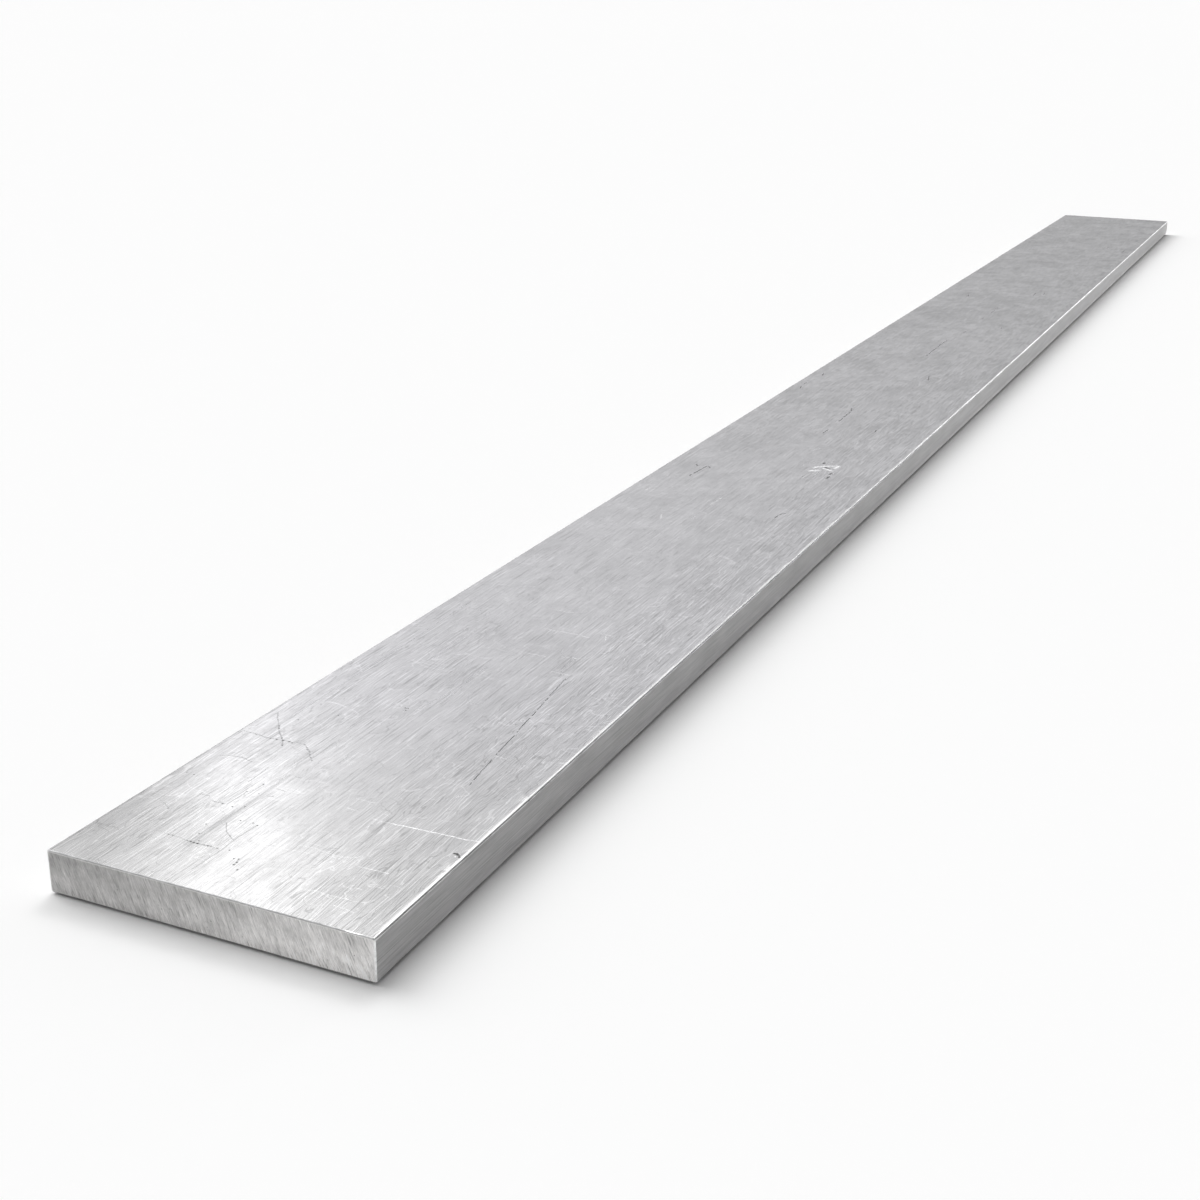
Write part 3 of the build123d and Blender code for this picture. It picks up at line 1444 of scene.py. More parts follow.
@dataclass(frozen=True)
class SawnFinish:
    """The cut ends: close, slanted saw lines with a dull sheen, with painted light and shade: brighter to
    the right and at the foot, darker to the left and at the top.
    """

    pale: Paint = (0.965, 0.955, 0.946, 1)
    deep: Paint = (0.358, 0.354, 0.351, 1)
    oxide: Paint = (0.12, 0.12, 0.12, 1)
    # a painted highlight round the rim of the end, partly a bright burr
    burr_highlight: Paint = (0.93, 0.925, 0.92, 1)
    painted_shade: Paint = (0.05, 0.05, 0.05, 1)
    painted_shadow_height: float = 0.50  # how high the painted contact shadow reaches, in millimetres
    painted_shadow_share: float = 0.6  # the share of that height which is all painted shadow
    # painted light and shade across and up the end: darker to the left, brighter to the right, brighter at
    # the foot and darker at the top
    left_painted_shade: float = 0.74
    margin_painted_shade: float = 0.86  # how much darker again the painted shade makes the left margin
    margin_width: float = 9.0
    right_painted_light: float = 1.12
    sawn_foot_painted_light: float = 1.28
    sawn_top_painted_shade: float = 0.94
    roughness: float = 0.62
    line_depth: float = 0.012 * MM
    lean: float = math.tan(math.radians(19))

    # noises that follow the slant of the saw lines
    fine: Cloud = Cloud(0.1, 2.8, 0.32, 3, 0.85, 0.2)
    coarse: Cloud = Cloud(0.1, 0.9, 0.16, 3, 0.6, 0.4)
    cloud: Cloud = Cloud(0.1, 0.16, 0.16, 4, 0.7)
    stroke: Cloud = Cloud(0.1, 2.2, 0.22, 1, 0.5, 0.0, (0.0, 0.0, 30.0))
    deep_strokes: Ramp = Ramp(0.38, 0.28, 0.0, -0.35)
    pale_strokes: Ramp = Ramp(0.62, 0.72, 0.0, 0.25)
    rim_painted_highlight: Ramp = Ramp(0.2, 1.0, 0.0, 0.7)
    dark_marks: Ramp = Ramp(0.0, -1.0)

    def material(self, size: BarSize) -> bpy.types.Material:
        """Build the finish.

        Args:
            size: The bar's sizes, which place the middle height and the two sides.

        Returns:
            The material.
        """
        material, graph = new_finish("sawn_finish")
        place = graph.place()
        half_width, half_height = size.width / 2 / MM, size.thickness / 2 / MM
        across, up = graph.along(place, ACROSS), graph.math("SUBTRACT", graph.along(place, UP), half_height)
        straightened = graph.math("SUBTRACT", across, graph.times(up, self.lean))
        slanted = graph.add("ShaderNodeCombineXYZ", {0: graph.along(place, ALONG), 1: straightened, 2: up})
        noises = (self.fine, self.coarse, self.cloud, self.stroke)
        fine, coarse, cloud, stroke = (graph.cloud(slanted.outputs[0], noise) for noise in noises)
        tone = graph.total(0.5, (fine, 1.25), (coarse, 0.7), (cloud, 0.9))
        for strokes in (self.deep_strokes, self.pale_strokes):
            tone = graph.plus(tone, graph.grade(stroke, strokes))
        colour = graph.blend_colour(tone, self.deep, self.pale)
        # painted light and shade, graded across and up the end
        side = Ramp(half_width, -half_width, self.left_painted_shade, self.right_painted_light)
        rise = Ramp(-half_height, half_height, self.sawn_foot_painted_light, self.sawn_top_painted_shade)
        margin = Ramp(half_width - self.margin_width, half_width, 1.0, self.margin_painted_shade)
        colour = graph.shaded(colour, (across, side), (up, rise), (across, margin))
        dark = graph.stored(BarMesh.SHADE_NAME, self.dark_marks)
        # the painted highlight round the rim
        burr_highlight = graph.stored(BarMesh.WEAR_AND_LIGHT_NAME, self.rim_painted_highlight)
        # a painted contact shadow along the foot of the end
        foot = Ramp(self.painted_shadow_height - half_height, self.painted_shadow_share * self.painted_shadow_height - half_height)
        foot = graph.grade(up, foot)
        colour = graph.coated(colour, (dark, self.oxide), (burr_highlight, self.burr_highlight), (foot, self.painted_shade))
        rough = graph.total(self.roughness, (fine, 0.15), (cloud, 0.1))
        normal = graph.bump(graph.total(0.5, (fine, 1.0), (coarse, 0.5)), self.line_depth)
        graph.metal(colour, rough, normal)
        return material


@dataclass(frozen=True)
class FiledFinish:
    """The filed break round each end: bright metal with fine file strokes, darkened along its foot by a
    painted contact shadow.
    """

    pale: Paint = (0.90, 0.90, 0.90, 1)
    deep: Paint = (0.72, 0.72, 0.72, 1)
    painted_shade: Paint = (0.045, 0.045, 0.045, 1)
    roughness: float = 0.33
    stroke_depth: float = 0.006 * MM
    strokes: Cloud = Cloud(1.1, 0.8, 1.4, 4, 0.6)
    stroke_tone: Ramp = Ramp(0.3, 0.7)
    # where the painted contact shadow along the foot starts and where it is full, in millimetres up from
    # the floor
    foot: Ramp = Ramp(0.45, 0.3)

    def material(self) -> bpy.types.Material:
        """Build the finish.

        Returns:
            The material.
        """
        material, graph = new_finish("filed_finish")
        place = graph.place()
        strokes = graph.cloud(place, self.strokes)
        colour = graph.blend_colour(graph.grade(strokes, self.stroke_tone), self.deep, self.pale)
        # the painted contact shadow along the foot
        colour = graph.coated(colour, (graph.grade(graph.along(place, UP), self.foot), self.painted_shade))
        rough = graph.total(self.roughness, (strokes, 0.25))
        graph.metal(colour, rough, graph.bump(strokes, self.stroke_depth))
        return material


# ---------------------------------------------------------------------------------------------------
# The bar
# ---------------------------------------------------------------------------------------------------

HANDLING_MARKS = (
    MarkGroup(
        "bright drag", Tone.BRIGHT, Stroke.WHOLE, 0.42, 0.008, 0.72,
        (
            ((52.4, 75.0), (52.7, 82.0), (53.0, 90.0), (53.2, 97.5), (53.8, 100.4)),
        ),
    ),
    MarkGroup(
        "fainter bright drags", Tone.BRIGHT, Stroke.WHOLE, 0.42, 0.005, 0.42,
        (
            ((52.4, 68.0), (52.2, 71.5), (52.5, 75.0)),
            ((31.0, 58.5), (31.5, 63.0), (30.6, 69.0), (30.4, 72.0), (31.6, 75.5), (33.5, 77.0)),
            ((28.2, 79.0), (28.4, 88.0)), ((12.4, 71.5), (13.0, 76.0), (12.6, 80.0), (12.8, 86.0)),
            ((9.0, 83.8), (8.7, 86.7), (8.2, 90.4)), ((11.8, 72.1), (13.1, 76.8), (11.3, 81.7)),
            ((29.9, 66.0), (29.4, 72.5)), ((13.2, 72.2), (15.8, 72.4)), ((18.6, 84.1), (18.5, 86.0)),
            ((54.8, 58.5), (54.5, 62.0)), ((60.7, 57.5), (60.8, 64.0)), ((102.5, 79.5), (102.0, 85.0)),
        ),
    ),
    MarkGroup(
        "bright nicks", Tone.BRIGHT, Stroke.WHOLE, 0.45, 0.006, 0.50,
        (
            ((179.5, 50.0), (179.6, 58.0)), ((168.8, 64.5), (168.0, 73.0)),
            ((182.0, 65.0), (183.0, 70.0)), ((203.0, 46.0), (203.2, 58.0), (202.0, 64.0)),
            ((207.5, 66.0), (207.0, 71.0)), ((201.5, 70.5), (206.5, 68.5)),
            ((203.8, 82.0), (204.4, 85.0)), ((193.5, 75.5), (196.5, 76.2)),
            ((222.0, 41.0), (222.3, 48.0)), ((298.8, 35.0), (299.2, 38.0)),
            ((300.0, 44.0), (301.5, 49.5)),
        ),
    ),
    MarkGroup(
        "bright smears", Tone.BRIGHT, Stroke.WHOLE, 1.1, 0.008, 0.45,
        (
            ((344.0, 32.0), (349.0, 30.0)), ((372.0, 44.0), (384.0, 44.5)), ((380.0, 9.0), (387.0, 9.5)),
            ((480.0, 55.0), (488.0, 58.0)),
        ),
    ),
    MarkGroup(
        "star-shaped knock", Tone.BRIGHT, Stroke.WHOLE, 2.0, 0.010, 0.78,
        (
            ((445.6, 66.1), (448.8, 70.1)), ((452.2, 66.0), (456.8, 69.8), (460.0, 76.3)),
            ((453.0, 70.9), (450.3, 75.5)), ((458.6, 76.2), (455.0, 75.8)),
        ),
    ),
    MarkGroup(
        "dark creases of the knock", Tone.DARK, Stroke.WHOLE, 1.6, 0.006, 0.92,
        (
            ((460.5, 68.2), (463.0, 68.4)), ((444.0, 76.8), (446.5, 76.9)),
            ((436.5, 77.5), (440.0, 77.5)), ((455.2, 70.8), (453.6, 73.4)),
        ),
    ),
    MarkGroup(
        "faint creases of the knock", Tone.DARK, Stroke.WHOLE, 1.0, 0.004, 0.4,
        (
            ((435.4, 71.3), (444.9, 71.0)), ((433.4, 67.3), (437.0, 65.2)),
            ((440.0, 77.4), (444.0, 76.9)), ((459.0, 61.5), (462.5, 64.5)),
            ((464.5, 70.5), (468.0, 72.0)),
        ),
    ),
    MarkGroup(
        "long score", Tone.DARK, Stroke.WHOLE, 0.48, 0.006, 0.95,
        (
            ((85.6, 81.6), (90.1, 81.1)), ((96.9, 80.3), (99.9, 80.0)), ((103.3, 79.5), (104.2, 79.4)),
            ((105.4, 79.2), (117.8, 78.1)), ((120.2, 77.8), (121.0, 77.7)),
            ((125.5, 77.0), (127.6, 76.8), (131.4, 76.5)), ((133.2, 76.3), (136.8, 75.9)),
            ((145.5, 74.9), (147.8, 74.6)),
        ),
    ),
    MarkGroup(
        "lighter runs of the long score", Tone.DARK, Stroke.WHOLE, 0.48, 0.006, 0.84,
        (
            ((82.0, 82.1), (84.0, 81.8)), ((90.5, 81.0), (96.5, 80.4)), ((122.3, 77.4), (125.5, 77.0)),
            ((138.2, 75.7), (144.4, 75.0)), ((150.1, 74.2), (154.9, 73.7), (165.1, 72.7)),
        ),
    ),
    MarkGroup(
        "faint ends of the long score", Tone.DARK, Stroke.BROKEN, 0.34, 0.005, 0.55,
        (
            ((66.0, 84.0), (68.0, 83.4)), ((72.0, 82.8), (75.0, 82.6)),
            ((166.5, 70.5), (169.0, 69.0), (171.0, 68.6), (181.0, 67.6)),
        ),
    ),
    MarkGroup(
        "beaded scores", Tone.DARK, Stroke.BEADED, 0.72, 0.008, 0.88,
        (
            ((92.5, 9.3), (89.0, 11.7), (84.0, 16.5), (80.8, 18.6)),
            ((84.0, 8.0), (83.3, 11.0), (84.0, 16.0), (84.0, 20.0)),
            ((20.8, 27.0), (20.2, 30.0), (20.1, 34.0), (20.3, 37.0)), ((120.0, 24.5), (120.3, 26.5)),
            ((121.0, 34.2), (121.2, 38.5)), ((118.4, 38.6), (119.4, 38.4)),
        ),
    ),
    MarkGroup(
        "fainter beaded scores", Tone.DARK, Stroke.BEADED, 0.56, 0.006, 0.75,
        (
            ((100.0, 3.5), (97.0, 5.5), (94.0, 8.0), (92.5, 9.3)), ((84.5, 2.0), (84.0, 8.0)),
            ((84.6, 21.0), (84.2, 24.5), (82.0, 27.0), (81.0, 28.3), (78.0, 30.5), (76.0, 32.5)),
            ((21.2, 19.0), (20.8, 27.0)), ((20.3, 37.0), (20.4, 40.0)),
            ((134.0, 53.0), (133.5, 57.0), (134.0, 59.0)), ((171.0, 9.2), (194.0, 8.6), (220.0, 9.0)),
            ((15.0, 49.3), (16.2, 49.2), (17.5, 48.6)), ((13.5, 51.9), (12.8, 51.6)),
        ),
    ),
    MarkGroup(
        "dark hairlines", Tone.DARK, Stroke.WHOLE, 0.30, 0.004, 0.55,
        (
            ((141.0, 44.6), (143.0, 45.2), (148.0, 44.6)), ((120.0, 41.5), (130.0, 42.8), (139.0, 44.2)),
            ((148.0, 44.6), (157.0, 44.1), (164.0, 44.2)), ((131.0, 46.0), (139.0, 45.6)),
            ((139.0, 50.3), (135.0, 52.5), (134.0, 53.0)), ((161.0, 24.6), (178.0, 24.2), (190.0, 24.9)),
            ((203.5, 20.8), (209.0, 20.6)), ((209.5, 14.0), (210.3, 10.5)),
            ((209.0, 16.5), (210.6, 16.0)), ((185.5, 60.0), (182.5, 64.0)),
            ((202.0, 75.8), (206.0, 75.5)), ((167.0, 4.2), (169.0, 5.5)),
            ((8.0, 41.0), (20.0, 41.6), (28.0, 41.3), (35.5, 42.0)), ((56.0, 24.0), (66.5, 23.8)),
            ((42.0, 27.0), (51.0, 27.3)), ((50.0, 28.5), (57.5, 28.6)),
            ((36.8, 3.0), (36.0, 9.0), (33.3, 14.0)), ((44.0, 16.0), (44.2, 19.5)),
            ((42.0, 22.0), (42.0, 26.0)), ((67.0, 6.0), (68.3, 8.5), (68.8, 12.5), (67.5, 17.0)),
            ((51.5, 36.0), (51.2, 34.0)), ((56.0, 34.0), (55.8, 37.0)), ((64.8, 34.2), (65.0, 36.0)),
            ((33.0, 33.5), (28.5, 37.0), (26.0, 41.0)), ((94.5, 35.0), (95.3, 33.0)),
            ((100.0, 9.4), (125.0, 8.8), (150.0, 9.3), (171.0, 9.2)),
        ),
    ),
    MarkGroup(
        "dark hairlines farther along", Tone.DARK, Stroke.BROKEN, 0.9, 0.005, 0.92,
        (
            ((412.0, 18.0), (432.0, 19.3)), ((430.0, 15.0), (432.0, 13.5)),
            ((429.0, 21.5), (431.0, 20.5)), ((367.0, 76.0), (373.0, 76.6), (375.0, 78.0)),
            ((518.0, 50.0), (526.0, 50.2)), ((546.0, 50.0), (556.0, 49.6), (568.0, 49.5)),
            ((572.0, 49.0), (577.0, 47.8)), ((612.0, 6.5), (617.0, 5.8)), ((623.0, 5.5), (628.0, 5.0)),
            ((650.0, 8.0), (656.0, 6.5)), ((667.0, 67.5), (677.0, 65.5)), ((532.0, 73.8), (537.0, 73.0)),
            ((735.0, 49.0), (770.0, 48.6), (790.0, 49.0)), ((822.0, 52.5), (826.0, 53.0)),
            ((878.0, 52.5), (885.0, 53.0)), ((905.0, 53.0), (915.0, 53.5)),
            ((922.0, 52.0), (928.0, 54.0)), ((848.0, 72.0), (854.0, 71.5)),
            ((966.0, 22.0), (974.0, 21.5)), ((992.0, 66.0), (1003.0, 65.5)),
            ((1000.0, 72.0), (1008.0, 71.5)), ((1255.0, 92.5), (1268.0, 93.0)),
            ((1272.0, 77.0), (1285.0, 76.5)),
        ),
    ),
    MarkGroup(
        "soft dark rub", Tone.DARK, Stroke.WHOLE, 1.3, 0.004, 0.30,
        (
            ((18.0, 32.0), (30.0, 31.8), (42.0, 32.3), (55.0, 32.0), (65.0, 32.0)),
        ),
    ),
    MarkGroup(
        "dots", Tone.DARK, Stroke.WHOLE, 0.8, 0.008, 1.0,
        (
            ((53.6, 4.2),), ((53.3, 7.0),), ((33.0, 13.7),), ((35.5, 42.0),), ((51.0, 27.3),),
            ((43.0, 32.4),), ((24.9, 30.5),), ((30.1, 29.0),), ((41.6, 29.2),), ((35.8, 36.2),),
            ((36.1, 40.2),), ((20.8, 43.6),), ((17.6, 47.4),), ((17.9, 48.7),), ((16.2, 49.4),),
            ((14.9, 49.3),), ((98.6, 12.2),), ((106.9, 21.5),), ((56.6, 29.0),), ((42.0, 25.5),),
            ((83.6, 20.2),), ((81.6, 27.0),), ((21.5, 33.2),),
        ),
    ),
    MarkGroup(
        "chip at the right edge", Tone.DARK, Stroke.WHOLE, 1.1, 0.006, 1.0,
        (
            ((45.2, 97.9), (45.3, 98.7), (44.8, 99.3)), ((44.0, 100.2), (43.7, 100.3)),
        ),
    ),
    MarkGroup(
        "crumb beside the chip", Tone.BRIGHT, Stroke.WHOLE, 0.6, 0.006, 0.7,
        (
            ((44.0, 98.9), (43.7, 99.2)),
        ),
    ),
)


@dataclass
class FlatBar:
    """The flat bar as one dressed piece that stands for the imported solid."""

    size: BarSize
    name: str = "mill_finish_bar"
    seed: int = 7
    station_pitch: float = 7.0 * MM
    closest_stations: float = 0.1 * MM
    upper_rows: int = 100
    lower_rows: int = 44
    lower_columns: int = 110
    nicks_each_corner: int = 6
    nicked_share: float = 0.96
    hairlines_above: int = 900
    hairlines_below: int = 300
    pits_above: int = 220
    pits_below: int = 60
    specks_each_end: int = 26
    lengthwise_share: float = 0.55
    bright_share: float = 0.6

    # the least and the greatest of what is drawn at random, in millimetres where it is a length
    NICK_DEPTHS = (0.04, 0.11)
    PIT_RADII, PIT_SHADES = (0.15, 0.32), (0.15, 0.5)
    SPECK_RADII, SPECK_SHADES = (0.12, 0.3), (0.3, 0.9)
    LENGTHWISE_RUNS, CROSSWISE_RUNS = (2.0, 6.0), (1.0, 3.0)
    HAIRLINE_HALF_WIDTHS, BRIGHT_SHADES, DARK_SHADES = (0.08, 0.14), (0.15, 0.5), (0.1, 0.3)

    # how widely the hairlines' headings spread, and how much they curl, in radians
    LENGTHWISE_SPREAD, CROSSWISE_SPREAD, CURL = 0.2, 0.6, 0.35

    PIT_DEPTH, SPECK_DEPTH, HAIRLINE_DEPTH = 0.02 * MM, 0.03 * MM, 0.008 * MM
    NICK_STATIONS = np.array([-1.1, -0.5, 0.0, 0.5, 1.1]) * MM  # from a nick's middle
    CLEAR_OF_EDGE = 3 * MM  # how far the scattered marks keep from a broad face's edge
    CLEAR_OF_RIM = np.array([3, 2]) * MM  # and the specks from an end's, across and up

    # how far up the texture map each patch lies
    UPPER_MAP, LOWER_MAP, EDGES_MAP = (0.002, 0.44), (0.45, 0.67), 0.68
    EDGE_STRIP, CORNER_STRIP, MAP_GAP = 0.07, 0.015, 0.005
    SAWN_MAP, FILED_MAP = (0.92, 0.985), (0.988, 0.998)

    def build(self) -> bpy.types.Object:
        """Build the bar's mesh.

        Returns:
            The object, not yet dressed.
        """
        rng = np.random.default_rng(self.seed)
        reach = self.size.skin_reach
        columns = round(2 * reach / self.station_pitch)
        even = np.linspace(-reach, reach, columns + 1)
        nicks = {(side, above): self._nicks(rng) for side in (1.0, -1.0) for above in (True, False)}
        sides = [self._stations(even, nicks[side, True] + nicks[side, False]) for side in (1.0, -1.0)]
        upper_marks = self._upper_marks(rng)
        lower_marks = self._scatter(rng, self.hairlines_below, self.pits_below)
        upper = BroadFace(self.size, True, *sides, upper_marks, columns, self.upper_rows)
        lower = BroadFace(self.size, False, *sides, lower_marks, self.lower_columns, self.lower_rows)
        mesh = BarMesh()
        mesh.add(upper.patch(), self.UPPER_MAP)
        mesh.add(lower.patch(), self.LOWER_MAP)
        level = self.EDGES_MAP
        for side, stations in zip((1.0, -1.0), sides):
            narrow = NarrowFace(self.size, side, stations)
            mesh.add(narrow.patch(), (level, level + self.EDGE_STRIP))
            level += self.EDGE_STRIP + self.MAP_GAP
            for above in (True, False):
                corner = LongCorner(self.size, side, above, stations, nicks[side, above])
                mesh.add(corner.patch(), (level, level + self.CORNER_STRIP))
                level += self.CORNER_STRIP + self.MAP_GAP
        outline, outward = self._outline(upper, lower)
        for direction, half in ((-1.0, BarMesh.NEAR_HALF), (1.0, BarMesh.FAR_HALF)):
            sawn, filed = SawnEnd(self.size, direction, outline, outward, self._end_marks(rng)).patches()
            mesh.add(sawn, self.SAWN_MAP, half)
            mesh.add(filed, self.FILED_MAP, half)
        return mesh.build(self.name)

    def _nicks(self, rng: np.random.Generator) -> tuple[Pair, ...]:
        """Draw where one long corner is nicked, and how deeply.

        Args:
            rng: Draws the nicks.

        Returns:
            The place and the depth of each.
        """
        limit = self.size.skin_reach * self.nicked_share
        places = rng.uniform(-limit, limit, self.nicks_each_corner)
        depths = rng.uniform(*self.NICK_DEPTHS, self.nicks_each_corner) * MM
        return tuple(zip(places, depths))

    def _stations(self, even: np.ndarray, nicks: tuple[Pair, ...]) -> np.ndarray:
        """Add close stations round each nick to the evenly spaced ones.

        Args:
            even: The evenly spaced stations.
            nicks: The place and the depth of each nick.

        Returns:
            All the stations in order.
        """
        extra = np.concatenate([place + self.NICK_STATIONS for place, _ in nicks])
        every = np.sort(np.concatenate([even, extra]))
        return every[np.concatenate([[True], np.diff(every) > self.closest_stations])]

    def _outline(self, upper: BroadFace, lower: BroadFace) -> tuple[np.ndarray, np.ndarray]:
        """Walk round the bar's section through the points that its patches end in.

        Args:
            upper: The upper face, which gives the places across it.
            lower: The lower face.

        Returns:
            The points across and up, and the direction outwards at each.
        """
        size, turns = self.size, np.linspace(0, math.pi / 2, LongCorner.segments + 1)
        middle, half = size.thickness / 2, size.width / 2
        heights = NarrowFace(size, 1.0, np.zeros(1)).heights()
        points = [(place, size.thickness) for place in upper.cross_places()[::-1]]
        outward = [(0.0, 1.0)] * len(points)
        corners = (
            (-1, 1, [(-half, height) for height in heights[::-1][1:]], (-1.0, 0.0)),
            (-1, -1, [(place, 0.0) for place in lower.cross_places()[1:]], (0.0, -1.0)),
            (1, -1, [(half, height) for height in heights[1:]], (1.0, 0.0)),
            (1, 1, [], (0.0, 1.0)),
        )
        for side, rise, flat, way in corners:
            centre = (side * size.broad_reach, middle + rise * size.narrow_reach)
            for turn in turns[1:] if rise == -side else turns[::-1][1:]:
                lean = (side * math.sin(turn), rise * math.cos(turn))
                points.append(tuple(c + size.corner_radius * part for c, part in zip(centre, lean)))
                outward.append(lean)
            points += flat
            outward += [way] * len(flat)
        return np.array(points[:-1])[::-1], np.array(outward[:-1])[::-1]

    def _scatter(self, rng: np.random.Generator, hairlines: int, pits: int) -> Marks:
        """Scatter short hairlines and small pits over a broad face.

        Args:
            rng: Draws their places and shapes.
            hairlines: How many hairlines there are.
            pits: How many pits there are.

        Returns:
            The marks.
        """
        marks = Marks()
        limit = np.array([self.size.skin_reach, self.size.broad_reach]) - self.CLEAR_OF_EDGE
        for _ in range(hairlines):
            marks.cuts.append(self._hairline(rng, limit))
        for _ in range(pits):
            place, radius = rng.uniform(-limit, limit), rng.uniform(*self.PIT_RADII) * MM
            marks.cuts.append(Pit(place, radius, self.PIT_DEPTH, -rng.uniform(*self.PIT_SHADES)))
        return marks

    def _hairline(self, rng: np.random.Generator, limit: np.ndarray) -> Groove:
        """Draw one short curled hairline, most often along the bar or straight across it.

        Args:
            rng: Draws its place and shape.
            limit: How far from the middle of the face it may lie.

        Returns:
            The hairline.
        """
        if rng.random() < self.lengthwise_share:
            heading = rng.normal(0, self.LENGTHWISE_SPREAD)
            reach = rng.uniform(*self.LENGTHWISE_RUNS) * MM
        else:
            heading = rng.normal(math.pi / 2, self.CROSSWISE_SPREAD)
            reach = rng.uniform(*self.CROSSWISE_RUNS) * MM
        turns = heading + rng.normal(0, self.CURL) * np.linspace(-1, 1, 3)
        steps = np.stack([np.cos(turns), np.sin(turns)], 1) * reach / 3
        line = rng.uniform(-limit, limit) + np.vstack([[0, 0], np.cumsum(steps, 0)]) - steps.sum(0) / 2
        bright = rng.random() < self.bright_share
        shade = rng.uniform(*self.BRIGHT_SHADES) if bright else -rng.uniform(*self.DARK_SHADES)
        half_width = rng.uniform(*self.HAIRLINE_HALF_WIDTHS) * MM
        return Groove(line, half_width, self.HAIRLINE_DEPTH, shade)

    def _upper_marks(self, rng: np.random.Generator) -> Marks:
        """Lay the handling marks and the scattered ones on the upper face.

        Args:
            rng: Draws their places and shapes.

        Returns:
            The marks.
        """
        marks = self._scatter(rng, self.hairlines_above, self.pits_above)
        for group in HANDLING_MARKS:
            marks.cuts += group.cut(self.size, rng)
        return marks

    def _end_marks(self, rng: np.random.Generator) -> Marks:
        """Pit an end with a few specks.

        Args:
            rng: Draws their places and sizes.

        Returns:
            The specks.
        """
        marks = Marks()
        limit = np.array([self.size.width / 2, self.size.thickness / 2]) - self.CLEAR_OF_RIM
        for _ in range(self.specks_each_end):
            place = rng.uniform(-limit, limit) + (0, self.size.thickness / 2)
            radius = rng.uniform(*self.SPECK_RADII) * MM
            marks.cuts.append(Pit(place, radius, self.SPECK_DEPTH, -rng.uniform(*self.SPECK_SHADES)))
        return marks

    def dress(self, bar: bpy.types.Object) -> None:
        """Give the bar its finishes and set it in the frame.

        Args:
            bar: The bar's object.
        """
        mill, edge, sawn, filed = MillFinish(), EdgeFinish(), SawnFinish(), FiledFinish()
        for material in (mill.material(), edge.material(), sawn.material(self.size), filed.material()):
            bar.data.materials.append(material)
        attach(bar, CAD_BODY)
        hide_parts(CAD_NODE)


# ---------------------------------------------------------------------------------------------------
# Floor, light and camera
# ---------------------------------------------------------------------------------------------------


def direction(azimuth: float, elevation: float) -> Vector:
    """Give the direction to a point of the sky.

    Args:
        azimuth: Degrees from +X towards +Y.
        elevation: Degrees above the horizon.

    Returns:
        A vector of length 1.
    """
    turn, rise = math.radians(azimuth), math.radians(elevation)
    return Vector((math.cos(rise) * math.cos(turn), math.cos(rise) * math.sin(turn), math.sin(rise)))


@dataclass
class Floor:
    """A plain pale floor, in rings that are small under the bar and wide towards the horizon."""

    reach: float = 400.0
    first_ring: float = 0.2
    rings: int = 40
    spokes: int = 64
    drop: float = 0.48 * MM
    colour: Paint = (0.98, 0.98, 0.98, 1)

    def build(self) -> bpy.types.Object:
        """Build the floor.

        Returns:
            The floor's object.
        """
        radii = np.geomspace(self.first_ring, self.reach, self.rings)
        turns = np.linspace(0, 2 * math.pi, self.spokes, endpoint=False)
        work = bmesh.new()
        middle = work.verts.new((0, 0, -self.drop))
        around = [(math.cos(turn), math.sin(turn)) for turn in turns]
        rings = [[work.verts.new((r * x, r * y, -self.drop)) for x, y in around] for r in radii]
        for spoke in range(self.spokes):
            after = (spoke + 1) % self.spokes
            work.faces.new((middle, rings[0][spoke], rings[0][after]))
            for inner, outer in zip(rings[:-1], rings[1:]):
                work.faces.new((inner[spoke], outer[spoke], outer[after], inner[after]))
        mesh = bpy.data.meshes.new("studio_floor")
        work.to_mesh(mesh)
        work.free()
        floor = new_object("studio_floor", mesh)
        material, graph = new_finish("pale_floor")
        paint = graph.add("ShaderNodeBsdfDiffuse", {"Color": self.colour})
        graph.add("ShaderNodeOutputMaterial", {"Surface": paint.outputs[0]})
        mesh.materials.append(material)
        return floor


@dataclass(frozen=True)
class Softbox:
    """One soft lamp far off, which fades out on every side. A negative level is a dark screen."""

    name: str
    azimuth: float
    elevation: float
    half_width: float
    half_height: float
    level: float

    def shine(self, graph: Graph, sky: Socket) -> Socket:
        """Give the lamp's light from every direction.

        Args:
            graph: The light's node graph.
            sky: The direction that is looked in.

        Returns:
            The level of the light.
        """
        middle = direction(self.azimuth, self.elevation)
        across = direction(self.azimuth + 90, 0.0)
        sideways = graph.along(sky, across / math.sin(math.radians(self.half_width)))
        upwards = graph.along(sky, middle.cross(across) / math.sin(math.radians(self.half_height)))
        squares = [graph.times(part, part) for part in (sideways, upwards)]
        patch = graph.math("EXPONENT", graph.times(graph.plus(*squares), -1.0))
        facing = graph.math("GREATER_THAN", graph.along(sky, middle), 0.0)
        return graph.times(patch, facing, self.level)


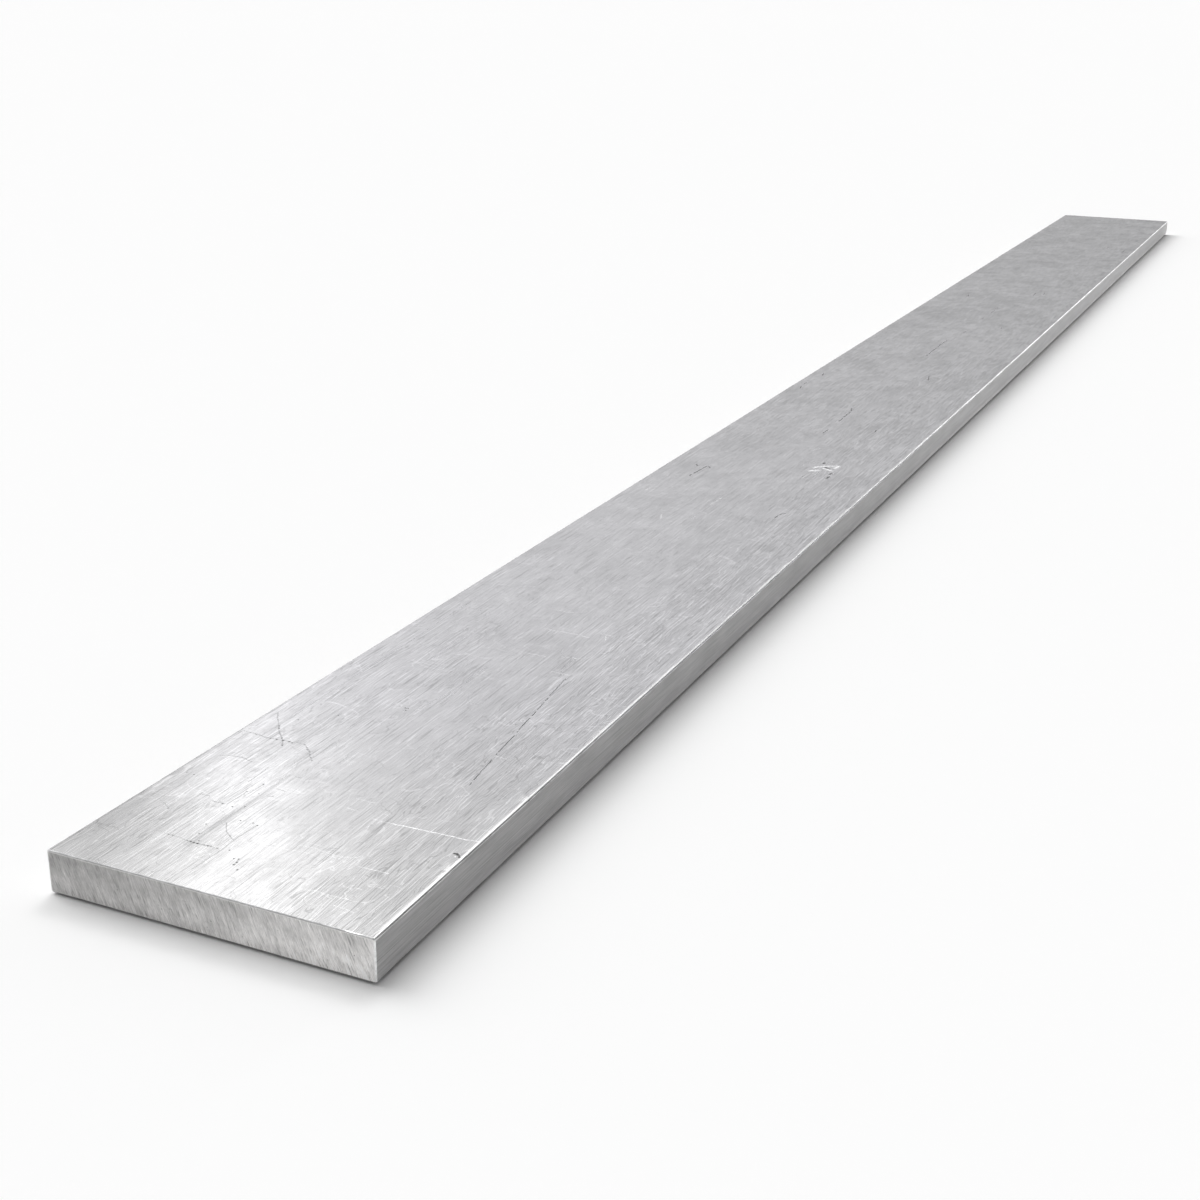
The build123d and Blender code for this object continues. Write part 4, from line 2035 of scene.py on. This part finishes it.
@dataclass(frozen=True)
class Light:
    """Soft light all round: a pale sky, a big softbox on the left, and small ones that the bar mirrors."""

    colour: Paint = (1, 1, 1, 1)
    horizon: float = 0.36
    overhead: float = 0.27
    softboxes: tuple[Softbox, ...] = (
        Softbox("large softbox high on the left", 76.0, 47.0, 16.0, 22.0, 6.2),
        Softbox("softbox high beyond the far end", 16.0, 52.0, 11.0, 9.5, 7.9),
        Softbox("strip that the near end mirrors", 38.5, 28.5, 2.7, 7.0, 1.35),
        Softbox("screen beside that strip", 42.0, 22.0, 3.5, 5.0, -1.5),
        Softbox("upright strip on the right", -10.0, 13.5, 2.6, 11.5, 5.5),
        Softbox("pale wall beyond", 39.5, 21.0, 32.0, 12.0, 0.48),
    )

    def build(self) -> None:
        """Build the world's light."""
        world = bpy.data.worlds.new("soft_light")
        world.use_nodes = True
        bpy.context.scene.world = world
        graph = Graph(world.node_tree)
        sky = graph.add("ShaderNodeTexCoord").outputs["Generated"]
        level = graph.plus(graph.times(graph.along(sky, UP), self.overhead - self.horizon), self.horizon)
        for softbox in self.softboxes:
            level = graph.plus(level, softbox.shine(graph, sky))
            LOG.info("%s is lit", softbox.name)
        lit = {"Color": self.colour, "Strength": graph.math("MAXIMUM", level, 0.0)}
        background = graph.add("ShaderNodeBackground", lit)
        graph.add("ShaderNodeOutputWorld", {"Surface": background.outputs[0]})


@dataclass
class Camera:
    """The camera, a little above the bar and off its near right corner."""

    place: Triple = (-1.04477, -0.24349, 0.22839)
    pan: float = 24.484
    tilt: float = -20.195
    roll: float = 0.680
    lens: float = 50.0
    sensor: float = 36.0
    nearest: float = 0.01
    farthest: float = 600.0

    def build(self) -> bpy.types.Object:
        """Build the camera and make it the scene's own.

        Returns:
            The camera's object.
        """
        data = bpy.data.cameras.new("camera")
        data.sensor_width, data.lens = self.sensor, self.lens
        data.clip_start, data.clip_end = self.nearest, self.farthest
        camera = new_object("camera", data)
        turn = Matrix.Rotation(math.radians(self.pan - 90), 4, "Z")
        rise = Matrix.Rotation(math.radians(90 + self.tilt), 4, "X")
        roll = Matrix.Rotation(math.radians(self.roll), 4, "Z")
        camera.matrix_world = Matrix.Translation(self.place) @ turn @ rise @ roll
        bpy.context.scene.camera = camera
        return camera


def main() -> None:
    """Build the bar, then the floor, the light and the camera, and report each."""
    logging.basicConfig(level=logging.INFO, format="%(name)s: %(message)s")
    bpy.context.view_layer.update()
    bar = FlatBar(BarSize.from_frame())
    made = bar.build()
    bar.dress(made)
    LOG.info("%s has %d points and %d faces", made.name, len(made.data.vertices), len(made.data.polygons))
    LOG.info("%s is laid", Floor().build().name)
    Light().build()
    LOG.info("%s is set up", Camera().build().name)
    bpy.context.scene.view_settings.view_transform = "Standard"


if __name__ == "__main__":
    main()
